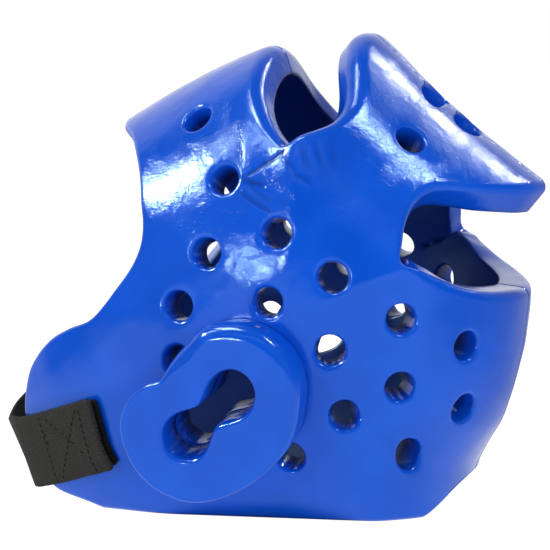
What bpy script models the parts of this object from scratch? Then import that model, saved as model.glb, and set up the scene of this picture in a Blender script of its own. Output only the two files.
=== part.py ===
"""A dipped foam head guard, modelled in Blender.

One sheet of closed foam is cut with three lobes on each side, bent round the head and joined
along the middle, then dipped in vinyl. The lobes leave an eye-shaped opening in front of the
crown and one behind it. Round vent holes go through the sheet, a thick pear-shaped pad with
a keyhole slot sits over each ear, and an elastic chin strap runs from jaw to jaw.

Frame: +Z up, the face looks along -Y, +X is the wearer's left. The guard stands on its rim,
which lies in the plane z = 0, and x = 0 is its plane of symmetry. The places below are in
millimetres, and "back" is measured from a plane a little behind the ear. The finished meshes
are in metres, with the origin under the middle of the whole length.
"""
import math

import bpy
import numpy as np
from mathutils import Vector
from mathutils.geometry import delaunay_2d_cdt

MM = 0.001
MIDDLE_BACK = -1.47          # back of the middle of the whole length, where the origin is set

# The skin: the outer face of the sheet, a dome that bulges to each side of the middle plane.
AXIS_Y = 30.0               # where the side axis crosses the middle plane
AXIS_Z = 105.0
HALF_WIDTH = 93.0           # at the side axis
SIDE_POWER = 2.4            # how flat the sides are
OVER_POWER = 2.0            # how round the lobes are where they cross the middle
EASE_DEGREES = 4.0          # rounding of the corners of the middle outline
MEAN_RADIUS = 118.0         # mean distance from the side axis to the middle outline

# The sheet
FOAM = 17.5                 # thickness
RIM_EASE = 45.0             # height over which the wall turns level towards the flat rim

# Vent holes and the keyhole slot over the ear
VENT_RADIUS = 7.5
VENT_LIP = 2.2
SLOT_UPPER = (7.4, 71.2)    # back and up, middle of the upper round end
SLOT_LOWER = (-18.0, 49.6)
SLOT_UPPER_RADIUS = 10.8
SLOT_LOWER_RADIUS = 10.4
SLOT_BLEND = 28.5           # how widely the two round ends flow together
SLOT_LIP = 2.4

# Ear pads
PAD_GAP = 0.7
PAD_THICK = 19.0
PAD_FLATTEN = 0.5           # how far the pad's face is drawn towards a flat one
PAD_SOFT = 8.0              # rounding along the upper and rear side
PAD_CRISP = 1.6             # rounding along the lower and front side
PAD_SOFT_TOWARDS = (0.55, 0.84)    # back and up, the way the soft side faces
PAD_SOFT_FROM = -0.25       # how far round the soft side begins
PAD_SOFT_EASE = 0.9

# Chin strap
STRAP_WIDE = 37.0
STRAP_THICK = 1.9
HOOK_THICK = 1.6
HOOK_LONG = 34.0
HOOK_MARGIN = 1.2
STRAP_GAP = 0.65
JAW_MIDDLE = (0.0, -60.0, 30.0)    # the strap bulges away from here

# Fineness
GRID = 10.0
EDGE_STEP = 8.5
HOLE_STEP = 5.0
VENT_SIDES = 12
SLOT_SIDES = 28
PAD_SIDES = 44
PAD_GRID = 11.0
STRAP_STEP = 7.0
STRAP_LANES = 4
GRID_ROOM = 0.62            # least distance from the grid to an edge, in grid steps
SHARP_DEGREES = 35.0
SOFT_EDGE = 3.0             # edges softer than this are rounded in two steps

# Outline of the dome in the middle plane, going round from the brow
#                back    up
MIDDLE_OUTLINE = ((-90, 187),
                  (-78, 195),
                  (-46, 213),
                  (-27, 221.8),
                  (-9, 228.8),
                  (3, 233),
                  (16, 237),
                  (38, 254.5),
                  (58.5, 236),
                  (82.5, 211),
                  (108, 187.5),
                  (127, 172),
                  (137.5, 163.8),
                  (151.5, 152),
                  (136, 122),
                  (133.5, 107),
                  (132.5, 95),
                  (129.5, 77),
                  (123.5, 54),
                  (118, 38),
                  (110, 25),
                  (103, 12),
                  (104.5, 0),
                  (104, -24),
                  (84, -46),
                  (0, -46),
                  (-74, -46),
                  (-138, -16),
                  (-156, 33),
                  (-140, 100),
                  (-112, 150))

# Cut edges on the wearer's left, as places on the skin and how softly the edge is rounded.
#             across  back   up   soft
FACE_EDGE = ((0, -79, 194.5, 4.0),
             (22, -74.5, 194, 4.0),
             (42, -64.5, 190.5, 3.5),
             (58, -56.6, 181, 3.0),
             (71, -50.6, 166.5, 3.0),
             (77.5, -47.8, 152, 3.0),
             (80, -47.5, 140, 3.0),
             (81, -51.8, 129, 3.0),
             (80, -61.6, 116, 2.5),
             (77.5, -75.5, 101, 2.5),
             (71.5, -91.5, 94, 2.5),
             (65.5, -102.5, 88, 2.5),
             (60, -112.5, 79, 2.5),
             (57, -119, 70.5, 2.5),
             (56.5, -121.5, 60, 2.5),
             (58, -121.5, 44, 2.5),
             (57, -119, 33, 2.5),
             (56.5, -115.5, 21.5, 2.5),
             (57, -111, 14.5, 2.5),
             (58.5, -106, 9.5, 2.5),
             (60.5, -97, 5.4, 2.5),
             (62.5, -88, 1.8, 2.5))
RIM_START = -78.0           # back of the face edge, where the edge reaches the rim plane
RIM_SOFT = 2.5
NAPE_HALF = 58.0            # across, where the rim leaves its plane behind the neck
NAPE_RISE = 11.5            # how far it has risen at the middle
NAPE_POWER = 2.7
BACK_MOST = 160.0           # further back than any place of the skin

REAR_NOTCH = ((0, 133, 107, 5.0),
              (20, 131, 108, 5.0),
              (43, 124, 110, 5.0),
              (58, 116, 113, 5.0),
              (70, 106, 117.5, 5.0),
              (79, 94, 124, 4.0),
              (83.5, 85.5, 129, 2.0),
              (82, 86, 140, 4.0),
              (77.5, 88, 151, 4.0),
              (72, 92, 159.5, 4.0),
              (65, 99.5, 164.5, 4.0),
              (46, 124, 162.4, 4.0),
              (22, 139, 159.4, 4.5),
              (0, 142.5, 157.6, 4.5))

CROWN_REAR_HOLE = ((0, 110.5, 186.5, 2.5),
                   (9, 110, 186.5, 2.5),
                   (15, 107, 188, 2.5),
                   (17.5, 103, 190.5, 2.0),
                   (15.5, 100, 193.5, 1.7),
                   (9, 98.5, 195.5, 1.7),
                   (0, 98, 196, 1.7))

CROWN_FRONT_HOLE = ((0, 92.5, 201, 1.7),
                    (10, 92.5, 201, 1.7),
                    (17, 92, 201, 1.7),
                    (20.5, 89.5, 202.5, 2.0),
                    (19, 86, 205.5, 2.5),
                    (12, 82.5, 209, 2.5),
                    (0, 81.5, 210, 2.5))

FRONT_NOTCH = ((0, 53, 242.5, 9.0),
               (18, 52.5, 240, 9.0),
               (36.5, 54, 229.5, 9.0),
               (52, 56.5, 215, 9.0),
               (60.5, 55.5, 204, 8.0),
               (67.5, 51, 196, 6.0),
               (72, 44, 191.5, 5.0),
               (76, 34, 187.5, 4.0),
               (78, 27.5, 184.5, 2.5),
               (75, 22.5, 191, 5.0),
               (66, 14.5, 205, 7.0),
               (55, 9.5, 215.5, 7.5),
               (41, 7.5, 223.5, 7.5),
               (20, 7, 230, 7.5),
               (0, 7, 234, 7.5))

# Middles of the vent holes on each side
#         back     up
VENTS = ((-22.4, 198.4),
         (-2.5, 169.6),
         (25.8, 144.4),
         (-10.1, 134.6),
         (-25.2, 108.5),
         (21.1, 111.2),
         (53.2, 123.2),
         (84.6, 102.1),
         (51.1, 87.9),
         (111.5, 85.6),
         (82.7, 68.4),
         (56.6, 55.8),
         (108.2, 53.5),
         (83.9, 33.9),
         (27.9, 34.4),
         (-26.2, 82.1),
         (84.9, 186.6))

# Outline of the ear pad where it meets the sheet, going round
#               back   up
PAD_OUTLINE = ((-47.5, 57),
               (-42.5, 66.5),
               (-34, 73.5),
               (-27.5, 76),
               (-22.5, 83.5),
               (-14, 92.5),
               (-5, 101),
               (9, 103),
               (22.5, 100),
               (33.5, 91),
               (39.5, 78),
               (39.5, 64),
               (34.5, 48),
               (23.5, 37.2),
               (5.5, 25.8),
               (-12, 20.6),
               (-28.5, 22),
               (-41, 31.2),
               (-48.6, 45))

# The chin strap's upper and lower selvedge from the left end to the right end
#          upper: across back up   lower: across back up    on the skin
STRAP = ((81, -71.5, 61.5, 78, -61, 27.5, 1.0),
         (77.5, -82.5, 58.5, 74.5, -74, 23, 1.0),
         (72.5, -95, 54.5, 70, -86, 18.5, 1.0),
         (66, -107, 50.5, 64, -98, 14.5, 1.0),
         (58, -119, 46.5, 58, -107.5, 12, 1.0),
         (50, -127, 46.5, 38, -117.6, 13.5, 0.0),
         (32.8, -135.1, 42.2, 16.3, -130.4, 10, 0.0),
         (6.3, -140.4, 46.3, -8, -133.8, 13, 0.0),
         (-22, -137.5, 52.2, -29.3, -129.9, 17.2, 0.0),
         (-45, -129.5, 53.3, -46.2, -120, 18, 0.0),
         (-58, -119, 48.5, -58, -107.5, 13.5, 1.0),
         (-66, -107, 50.5, -64, -98, 14.5, 1.0),
         (-72.5, -95, 54.5, -70, -86, 18.5, 1.0),
         (-77.5, -82.5, 58.5, -74.5, -74, 23, 1.0),
         (-81, -71.5, 61.5, -78, -61, 27.5, 1.0))


# Smooth steps and splines

def smooth_step(value):
    """Ease from 0 to 1 as value goes from 0 to 1."""
    value = np.clip(value, 0.0, 1.0)
    return value * value * (3.0 - 2.0 * value)


def spline(rows, closed=False, per_span=24):
    """Points of a centripetal curve through the rows, close together."""
    rows = np.asarray(rows, float)
    if closed:
        rows = np.vstack([rows[-1], rows, rows[0], rows[1]])
    else:
        rows = np.vstack([2 * rows[0] - rows[1], rows, 2 * rows[-1] - rows[-2]])
    points = []
    for before, start, end, after in zip(rows, rows[1:], rows[2:], rows[3:]):
        knots = [0.0]
        for one, two in ((before, start), (start, end), (end, after)):
            knots.append(knots[-1] + max(np.linalg.norm(two - one), 1e-9) ** 0.5)
        t = np.linspace(knots[1], knots[2], per_span, endpoint=False)[:, None]
        a1 = (knots[1] - t) / (knots[1] - knots[0]) * before + (t - knots[0]) / (knots[1] - knots[0]) * start
        a2 = (knots[2] - t) / (knots[2] - knots[1]) * start + (t - knots[1]) / (knots[2] - knots[1]) * end
        a3 = (knots[3] - t) / (knots[3] - knots[2]) * end + (t - knots[2]) / (knots[3] - knots[2]) * after
        b1 = (knots[2] - t) / (knots[2] - knots[0]) * a1 + (t - knots[0]) / (knots[2] - knots[0]) * a2
        b2 = (knots[3] - t) / (knots[3] - knots[1]) * a2 + (t - knots[1]) / (knots[3] - knots[1]) * a3
        onward = (t - knots[1]) / (knots[2] - knots[1])
        points.append((1 - onward) * b1 + onward * b2)
    points = np.vstack(points)
    return points if closed else np.vstack([points, rows[-2]])


def space_evenly(points, step=None, count=None, closed=False, measured=slice(None)):
    """The same curve with points an even distance apart, measured in the given columns."""
    if closed:
        points = np.vstack([points, points[0]])
    run = np.concatenate([[0.0], np.cumsum(np.linalg.norm(np.diff(points[:, measured], axis=0), axis=1))])
    if count is None:
        count = max(2, int(round(run[-1] / step))) + (0 if closed else 1)
    marks = np.linspace(0.0, run[-1], count, endpoint=not closed)
    return np.stack([np.interp(marks, run, column) for column in points.T], axis=1)


# The dome

def outline_reach():
    """Distance from the side axis to the middle outline for every half degree, with eased corners."""
    angles = np.radians(np.arange(-180.0, 180.0, 0.5))
    corners = np.asarray(MIDDLE_OUTLINE, float) - (AXIS_Y, AXIS_Z)
    reach = np.zeros(len(angles))
    for start, end in zip(corners, np.roll(corners, -1, axis=0)):
        side = end - start
        across = np.cos(angles) * side[1] - np.sin(angles) * side[0]
        across = np.where(np.abs(across) < 1e-9, 1e-9, across)
        far = (start[0] * side[1] - start[1] * side[0]) / across
        along = (start[0] * np.sin(angles) - start[1] * np.cos(angles)) / across
        reach = np.where((far > 0) & (along >= -1e-9) & (along <= 1 + 1e-9), np.maximum(reach, far), reach)
    half = int(2 * EASE_DEGREES)
    weights = np.hanning(2 * half + 3)[1:-1]
    around = np.concatenate([reach[-half:], reach, reach[:half]])
    return angles, np.convolve(around, weights / weights.sum(), "valid")


REACH_ANGLES, REACH = outline_reach()
TURN = np.linspace(0.0, math.pi / 2, 721)
TURN_RUN = np.concatenate([[0.0], np.cumsum(np.hypot(
    np.diff(MEAN_RADIUS * np.sin(TURN) ** (2 / SIDE_POWER)),
    np.diff(HALF_WIDTH * np.cos(TURN) ** (2 / OVER_POWER))))])
MIDDLE = TURN_RUN[-1]       # distance over the skin from the side axis to the middle plane


def reach(angle):
    """Distance from the side axis to the middle outline in a direction."""
    return np.interp(angle, REACH_ANGLES, REACH, period=2 * math.pi)


def share(back, up):
    """0 at the side axis, 1 at the middle outline."""
    back, up = back - AXIS_Y, up - AXIS_Z
    return np.hypot(back, up) / reach(np.arctan2(up, back))


def flatten_place(points):
    """Places on the skin's flat pattern: distance from the side axis, in a direction."""
    points = np.atleast_2d(points)
    angle = np.arctan2(points[:, 2] - AXIS_Z, points[:, 1] - AXIS_Y)
    rise = share(points[:, 1], points[:, 2]) ** (SIDE_POWER / 2)
    fall = np.clip(np.abs(points[:, 0]) / HALF_WIDTH, 0.0, 1.0) ** (OVER_POWER / 2)
    run = np.interp(np.arctan2(rise, fall), TURN, TURN_RUN)
    return np.stack([run * np.cos(angle), run * np.sin(angle)], axis=1)


def skin(pattern):
    """Places on the dome for places on the flat pattern."""
    run = np.hypot(pattern[:, 0], pattern[:, 1])
    angle = np.arctan2(pattern[:, 1], pattern[:, 0])
    turn = np.interp(run, TURN_RUN, TURN)
    far = np.sin(turn) ** (2 / SIDE_POWER) * reach(angle)
    across = np.where(run > MIDDLE - 1e-6, 0.0, HALF_WIDTH * np.cos(turn) ** (2 / OVER_POWER))
    return np.stack([across, AXIS_Y + far * np.cos(angle), AXIS_Z + far * np.sin(angle)], axis=1)


def skin_across(back, up):
    """Half-width of the dome at a place in the side view."""
    return HALF_WIDTH * np.clip(1 - share(back, up) ** SIDE_POWER, 0.0, 1.0) ** (1 / OVER_POWER)


def outward(points):
    """Unit directions square to the dome, away from the head."""
    step = 0.4
    back, up = points[:, 1], points[:, 2]
    slope = np.stack([
        OVER_POWER / HALF_WIDTH * (np.abs(points[:, 0]) / HALF_WIDTH) ** (OVER_POWER - 1),
        (share(back + step, up) ** SIDE_POWER - share(back - step, up) ** SIDE_POWER) / (2 * step),
        (share(back, up + step) ** SIDE_POWER - share(back, up - step) ** SIDE_POWER) / (2 * step)], axis=1)
    return slope / np.linalg.norm(slope, axis=1, keepdims=True)


def inward(points):
    """Unit directions through the sheet, which turn level towards the flat rim."""
    through = -outward(points)
    through[:, 2] *= 1 - smooth_step(1 - points[:, 2] / RIM_EASE)
    return through / np.linalg.norm(through, axis=1, keepdims=True)


# Cut edges

class Edge:
    """A cut edge on the flat pattern, with its rounding and the direction into the sheet."""

    def __init__(self, places, soft, closed, inside_left=True):
        self.closed = closed
        self.soft = np.broadcast_to(np.asarray(soft, float), (len(places),)).copy()
        self.points = places
        if closed:
            along = np.roll(places, -1, axis=0) - np.roll(places, 1, axis=0)
        else:
            along = np.gradient(places, axis=0)
            for end in (0, -1):
                if places[end, 0] < 1e-6:
                    along[end, 1:] = 0.0
        along /= np.linalg.norm(along, axis=1, keepdims=True)
        into = np.cross(outward(places), along)
        self.into = into if inside_left else -into

    def row(self, inset, depth):
        """Places at an inset from the edge and a depth below the skin."""
        moved = self.points + self.into * np.broadcast_to(inset, (len(self.points),))[:, None]
        base = skin(flatten_place(moved))
        if not self.closed:
            base[self.points[:, 0] < 1e-6, 0] = 0.0
        return base, base + inward(base) * np.broadcast_to(depth, (len(self.points),))[:, None]


def edge_from_rows(rows, step=EDGE_STEP):
    """An open edge through rows of across, back, up and soft."""
    rows = np.asarray(rows, float)
    flat = flatten_place(rows[:, :3])
    curve = space_evenly(spline(np.column_stack([flat, rows[:, 3]])), step=step, measured=slice(0, 2))
    places = skin(curve[:, :2])
    for end in (0, -1):
        if rows[end, 0] == 0:
            places[end, 0] = 0.0
    return places, curve[:, 2]


def back_at(across, up):
    """How far back the rear of the skin is at a place across and a height."""
    wanted = (1 - (across / HALF_WIDTH) ** OVER_POWER) ** (1 / SIDE_POWER)
    near, far = np.full(len(across), AXIS_Y), np.full(len(across), BACK_MOST)
    for _ in range(40):
        half = (near + far) / 2
        inside = share(half, up) < wanted
        near, far = np.where(inside, half, near), np.where(inside, far, half)
    return near


def rim_places(start_back, step):
    """Points of the rim: in its plane from the jaw back, then rising behind the neck."""
    corner_back = float(back_at(np.array([NAPE_HALF]), np.zeros(1))[0])
    back = np.linspace(start_back, corner_back, 400)
    level = np.stack([skin_across(back, np.zeros_like(back)), back, np.zeros_like(back)], axis=1)
    across = np.linspace(NAPE_HALF, 0.0, 200)[1:]
    up = NAPE_RISE * (1 - (across / NAPE_HALF) ** NAPE_POWER)
    behind = np.stack([across, back_at(across, up), up], axis=1)
    return space_evenly(np.vstack([level, behind]), step=step)


def round_edge(middle, radius, sides):
    """Points of a round cut on the skin about a place given by back and up."""
    centre = np.array([[skin_across(*middle), middle[0], middle[1]]])
    out = outward(centre)[0]
    level = np.cross((0.0, 0.0, 1.0), out)
    level /= np.linalg.norm(level)
    upright = np.cross(out, level)
    turn = np.linspace(0.0, 2 * math.pi, sides, endpoint=False)[:, None]
    return skin(flatten_place(centre + radius * (np.cos(turn) * level + np.sin(turn) * upright)))


def slot_places(sides):
    """Points of the keyhole slot: two round ends that flow into each other."""
    upper, lower = np.array(SLOT_UPPER), np.array(SLOT_LOWER)
    middle = (upper + lower) / 2
    turn = np.linspace(0.0, 2 * math.pi, 361)[:-1]
    ray = np.stack([np.cos(turn), np.sin(turn)], axis=1)
    near, far = np.zeros(len(turn)), np.full(len(turn), 60.0)
    for _ in range(40):
        half = (near + far) / 2
        place = middle + ray * half[:, None]
        one = np.linalg.norm(place - upper, axis=1) - SLOT_UPPER_RADIUS
        two = np.linalg.norm(place - lower, axis=1) - SLOT_LOWER_RADIUS
        blend = np.clip(SLOT_BLEND - np.abs(one - two), 0.0, None) / SLOT_BLEND
        inside = np.minimum(one, two) - blend ** 2 * SLOT_BLEND / 4 < 0
        near, far = np.where(inside, half, near), np.where(inside, far, half)
    outline = middle + ray * near[:, None]
    places = np.column_stack([skin_across(outline[:, 0], outline[:, 1]), outline])
    return space_evenly(places, count=sides, closed=True)


# Meshes

def inside_loop(places, loop):
    """Which places lie inside a closed loop on the pattern."""
    inside = np.zeros(len(places), bool)
    for start, end in zip(loop, np.roll(loop, -1, axis=0)):
        crosses = (start[1] > places[:, 1]) != (end[1] > places[:, 1])
        rise = end[1] - start[1] if end[1] != start[1] else 1e-12
        inside ^= crosses & (places[:, 0] < (end[0] - start[0]) * (places[:, 1] - start[1]) / rise + start[0])
    return inside


def cover(loops, grid):
    """Triangles over the area inside the first loop and outside the others.

    The corners are the loops' points, in order, and then a staggered grid between them.
    """
    edge_points = np.vstack(loops)
    low, high = edge_points.min(axis=0), edge_points.max(axis=0)
    rows = []
    for count, up in enumerate(np.arange(low[1], high[1], grid * math.sqrt(3) / 2)):
        across = np.arange(low[0] + (count % 2) * grid / 2, high[0], grid)
        rows.append(np.stack([across, np.full(len(across), up)], axis=1))
    inner = np.vstack(rows)
    keep = inside_loop(inner, loops[0])
    for loop in loops[1:]:
        keep &= ~inside_loop(inner, loop)
    inner = inner[keep]
    room = np.min(np.linalg.norm(inner[:, None] - edge_points[None], axis=2), axis=1)
    inner = inner[room > GRID_ROOM * grid]
    points = np.vstack([edge_points, inner])
    edges, start = [], 0
    for loop in loops:
        edges += [(start + i, start + (i + 1) % len(loop)) for i in range(len(loop))]
        start += len(loop)
    result = delaunay_2d_cdt([Vector(point) for point in points], edges, [], 0, 1e-5)
    crossings = [place for place, ids in zip(result[0], result[3]) if not ids]
    if crossings:
        raise ValueError(f"cut edges cross at {crossings}")
    source = [ids[0] for ids in result[3]]
    triangles = np.array([[source[corner] for corner in face] for face in result[2]])
    middles = points[triangles].mean(axis=1)
    keep = inside_loop(middles, loops[0])
    for loop in loops[1:]:
        keep &= ~inside_loop(middles, loop)
    return points, triangles[keep]


def strip(first, second, closed):
    """Triangles between two rows of corner numbers."""
    faces = []
    for i in range(len(first) - (0 if closed else 1)):
        j = (i + 1) % len(first)
        faces.append((first[i], second[i], second[j]))
        faces.append((first[i], second[j], first[j]))
    return faces


def face_volume(corners, faces):
    """Signed volume inside closed faces."""
    a, b, c = (corners[faces[:, k]] for k in range(3))
    return float(np.einsum("ij,ij->i", a, np.cross(b, c)).sum() / 6)


def mirror_half(corners, faces):
    """A whole body from its left half: corners in the middle plane are shared."""
    shared = np.abs(corners[:, 0]) < 1e-6
    corners = corners.copy()
    corners[shared, 0] = 0.0
    twin = np.arange(len(corners))
    twin[~shared] = len(corners) + np.arange((~shared).sum())
    other = corners[~shared] * (-1, 1, 1)
    return np.vstack([corners, other]), np.vstack([faces, twin[faces][:, ::-1]])


def make_object(name, corners, faces, material, smooth=True):
    """One named object from corners in millimetres and triangles that face outwards."""
    faces = np.asarray(faces)
    if face_volume(corners, faces) < 0:
        faces = faces[:, ::-1]
    used, compact = np.unique(faces, return_inverse=True)
    mesh = bpy.data.meshes.new(name)
    placed = (corners[used] - (0.0, MIDDLE_BACK, 0.0)) * MM
    mesh.from_pydata(placed.tolist(), [], compact.reshape(faces.shape).tolist())
    mesh.update()
    if smooth:
        mesh.shade_smooth()
        mesh.set_sharp_from_angle(angle=math.radians(SHARP_DEGREES))
    mesh.materials.append(material)
    item = bpy.data.objects.new(name, mesh)
    bpy.context.scene.collection.objects.link(item)
    return item


def make_material(name, colour, roughness, coat=0.0):
    """A plain finish."""
    material = bpy.data.materials.new(name)
    material.use_nodes = True
    shader = material.node_tree.nodes["Principled BSDF"]
    shader.inputs["Base Color"].default_value = (*colour, 1.0)
    shader.inputs["Roughness"].default_value = roughness
    shader.inputs["Metallic"].default_value = 0.0
    shader.inputs["Coat Weight"].default_value = coat
    return material


class Body:
    """Corners and triangles of one body while it is put together."""

    def __init__(self):
        self.corners = []
        self.faces = []
        self.count = 0

    def add(self, corners):
        """Add corners and give their numbers."""
        self.corners.append(corners)
        self.count += len(corners)
        return np.arange(self.count - len(corners), self.count)

    def arrays(self):
        return np.vstack(self.corners), np.asarray(self.faces)


# The foam shell

def middle_run(start, end, step):
    """Pattern places along the middle plane between two edges' ends, without the ends."""
    angles = [math.atan2(place[2] - AXIS_Z, place[1] - AXIS_Y) for place in (start, end)]
    if angles[1] < angles[0]:
        angles[1] += 2 * math.pi
    length = (angles[1] - angles[0]) * MEAN_RADIUS
    turn = np.linspace(angles[0], angles[1], max(2, int(round(length / step)) + 1))[1:-1]
    return MIDDLE * np.stack([np.cos(turn), np.sin(turn)], axis=1)


def shell_edges():
    """The open cut edges of the left half, anticlockwise round the pattern."""
    start = (float(skin_across(RIM_START, 0.0)), RIM_START, 0.0, RIM_SOFT)
    face, face_soft = edge_from_rows(FACE_EDGE + (start,))
    rim = rim_places(RIM_START, EDGE_STEP)
    face_and_rim = np.vstack([face[:-1], rim])
    soft = np.concatenate([face_soft[:-1], np.full(len(rim), RIM_SOFT)])
    edges = [Edge(face_and_rim, soft, closed=False)]
    for rows in (REAR_NOTCH, CROWN_REAR_HOLE, CROWN_FRONT_HOLE, FRONT_NOTCH):
        step = EDGE_STEP if len(rows) > 8 else HOLE_STEP
        edges.append(Edge(*edge_from_rows(rows, step), closed=False))
    return edges


def shell_holes():
    """The closed cut edges of the left half."""
    holes = [Edge(round_edge(middle, VENT_RADIUS, VENT_SIDES), VENT_LIP, closed=True, inside_left=False)
             for middle in VENTS]
    holes.append(Edge(slot_places(SLOT_SIDES), SLOT_LIP, closed=True, inside_left=False))
    return holes


def build_shell(material):
    """The dipped sheet, bent round the head, with every cut square through it."""
    body = Body()
    edges = shell_edges()
    holes = shell_holes()
    outline, tops = [], []
    for edge, following in zip(edges, edges[1:] + edges[:1]):
        base = edge.row(edge.soft, 0.0)[0]
        tops.append(np.arange(len(base)) + sum(len(part) for part in outline))
        outline.append(flatten_place(base))
        next_start = following.row(following.soft, 0.0)[0][0]
        outline.append(middle_run(base[-1], next_start, EDGE_STEP))
    loops = [np.vstack(outline)]
    start = len(loops[0])
    for hole in holes:
        base = hole.row(hole.soft, 0.0)[0]
        loops.append(flatten_place(base))
        tops.append(np.arange(len(base)) + start)
        start += len(base)
    pattern, triangles = cover(loops, GRID)
    outer = skin(pattern)
    inner = outer + inward(outer) * FOAM
    outer_ids = body.add(outer)
    inner_ids = body.add(inner)
    body.faces += [tuple(outer_ids[face]) for face in triangles]
    body.faces += [tuple(inner_ids[face][::-1]) for face in triangles]
    for edge, top in zip(edges + holes, tops):
        steps = 2 if edge.soft.max() > SOFT_EDGE else 1
        last = outer_ids[top]
        rows = []
        for turn in np.linspace(0.0, math.pi / 2, steps + 1)[1:]:
            _, places = edge.row(edge.soft * (1 - math.sin(turn)), edge.soft * (1 - math.cos(turn)))
            rows.append(body.add(places))
        _, places = edge.row(0.0, FOAM)
        body.corners[1][top] = places
        rows.append(inner_ids[top])
        for row in rows:
            body.faces += strip(last, row, edge.closed)
            last = row
    corners, faces = body.arrays()
    corners[:, 2] = np.maximum(corners[:, 2], 0.0)
    return make_object("foam_shell", *mirror_half(corners, orient(corners, faces)), material)


def orient(corners, faces):
    """Turn the triangles of a connected surface so that neighbours agree."""
    faces = [tuple(face) for face in faces]
    by_side = {}
    for number, face in enumerate(faces):
        for k in range(3):
            by_side.setdefault(frozenset((face[k], face[(k + 1) % 3])), []).append(number)
    done = {0}
    waiting = [0]
    while waiting:
        number = waiting.pop()
        face = faces[number]
        for k in range(3):
            side = (face[k], face[(k + 1) % 3])
            for other in by_side[frozenset(side)]:
                if other in done:
                    continue
                corners_of = faces[other]
                sides = [(corners_of[j], corners_of[(j + 1) % 3]) for j in range(3)]
                if side in sides:
                    faces[other] = corners_of[::-1]
                done.add(other)
                waiting.append(other)
    return np.asarray(faces)


# The ear pads

def pad_softness(places):
    """Rounding of the pad's edge: soft above and behind, crisp below and in front."""
    middle = places.mean(axis=0)
    away = places[:, 1:] - middle[1:]
    away /= np.linalg.norm(away, axis=1, keepdims=True)
    facing = smooth_step((away @ PAD_SOFT_TOWARDS - PAD_SOFT_FROM) / PAD_SOFT_EASE)
    return PAD_CRISP + (PAD_SOFT - PAD_CRISP) * facing


def build_pad(name, side, material):
    """One ear pad, a thick layer on the shell with the keyhole slot cut through."""
    body = Body()
    outline = spline(PAD_OUTLINE, closed=True)
    outline = np.column_stack([skin_across(outline[:, 0], outline[:, 1]), outline])
    outline = space_evenly(outline, count=PAD_SIDES, closed=True)
    slot = slot_places(SLOT_SIDES)
    rim = Edge(outline, pad_softness(outline), closed=True, inside_left=False)
    hole = Edge(slot, SLOT_LIP, closed=True, inside_left=False)
    loops = [flatten_place(edge.row(edge.soft, 0.0)[0]) for edge in (rim, hole)]
    if not inside_loop(flatten_place(outline).mean(axis=0)[None], loops[0])[0]:
        raise ValueError("the pad's outline turned inside out")
    pattern, triangles = cover(loops, PAD_GRID)
    base = skin(pattern)
    face_out = outward(base).mean(axis=0)
    face_out /= np.linalg.norm(face_out)
    level = (base @ face_out).mean()

    def raise_up(places, drop):
        out = outward(places)
        lift = PAD_GAP + PAD_THICK - drop
        flat = (level - places @ face_out) * PAD_FLATTEN
        return places + out * (lift + flat)[:, None]

    upper = body.add(raise_up(base, np.zeros(len(base))))
    lower = body.add(base + outward(base) * PAD_GAP)
    body.faces += [tuple(upper[face]) for face in triangles]
    body.faces += [tuple(lower[face][::-1]) for face in triangles]
    tops = (np.arange(len(loops[0])), len(loops[0]) + np.arange(len(loops[1])))
    for edge, top in ((rim, tops[0]), (hole, tops[1])):
        last = upper[top]
        steps = 3 if edge is rim else 1
        for turn in np.linspace(0.0, math.pi / 2, steps + 1)[1:]:
            places, _ = edge.row(edge.soft * (1 - math.sin(turn)), 0.0)
            row = body.add(raise_up(places, edge.soft * (1 - math.cos(turn))))
            body.faces += strip(last, row, True)
            last = row
        places, _ = edge.row(0.0, 0.0)
        body.corners[1][top] = places + outward(places) * PAD_GAP
        body.faces += strip(last, lower[top], True)
    corners, faces = body.arrays()
    faces = orient(corners, faces)
    return make_object(name, corners * (side, 1, 1), faces, material)


# The chin strap

def strap_sections(low, high, first=0.0, last=1.0, margin=0.0):
    """Closed sections of a band along the strap between two heights over the skin.

    first and last are shares of the strap's length, and margin is left free at each selvedge.
    """
    rows = space_evenly(spline(STRAP), count=241, measured=slice(0, 3))
    run = np.concatenate([[0.0], np.cumsum(np.linalg.norm(np.diff(rows[:, :3], axis=0), axis=1))])
    count = max(3, int(round((last - first) * run[-1] / STRAP_STEP)) + 1)
    marks = np.linspace(first, last, count) * run[-1]
    rows = np.stack([np.interp(marks, run, column) for column in rows.T], axis=1)
    top, bottom, on_skin = rows[:, :3], rows[:, 3:6], rows[:, 6:7]
    wide = np.linalg.norm(bottom - top, axis=1, keepdims=True)
    down = (bottom - top) / wide
    middle = (top + bottom) / 2
    along = np.gradient(middle, axis=0)
    away = np.cross(down, along)
    away /= np.linalg.norm(away, axis=1, keepdims=True)
    away *= np.sign((away * (middle - JAW_MIDDLE)).sum(axis=1, keepdims=True))
    sides = []
    for height in (low, high):
        for lane in np.linspace(-0.5, 0.5, STRAP_LANES + 1)[::1 if height == low else -1]:
            free = middle + down * lane * (STRAP_WIDE - 2 * margin)
            mirrored = np.abs(free) * (1, 0, 0) + free * (0, 1, 1)
            seated = skin(flatten_place(mirrored))
            seated = seated + outward(seated) * height
            seated[:, 0] *= np.sign(middle[:, 0])
            lift = free + away * height
            sides.append(lift + (seated - lift) * smooth_step(on_skin))
    return np.stack(sides, axis=1)


def build_band(name, sections, material):
    """A closed band through sections that all have the same number of corners."""
    body = Body()
    rings = [body.add(section) for section in sections]
    for one, two in zip(rings, rings[1:]):
        body.faces += strip(one, two, True)
    half = sections.shape[1] // 2
    for ring, flip in ((rings[0], 1), (rings[-1], -1)):
        for i in range(half - 1):
            quad = (ring[i], ring[i + 1], ring[-2 - i], ring[-1 - i])
            body.faces += [quad[:3][::flip], (quad[0], quad[2], quad[3])[::flip]]
    corners, faces = body.arrays()
    return make_object(name, corners, orient(corners, faces), material)


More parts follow.
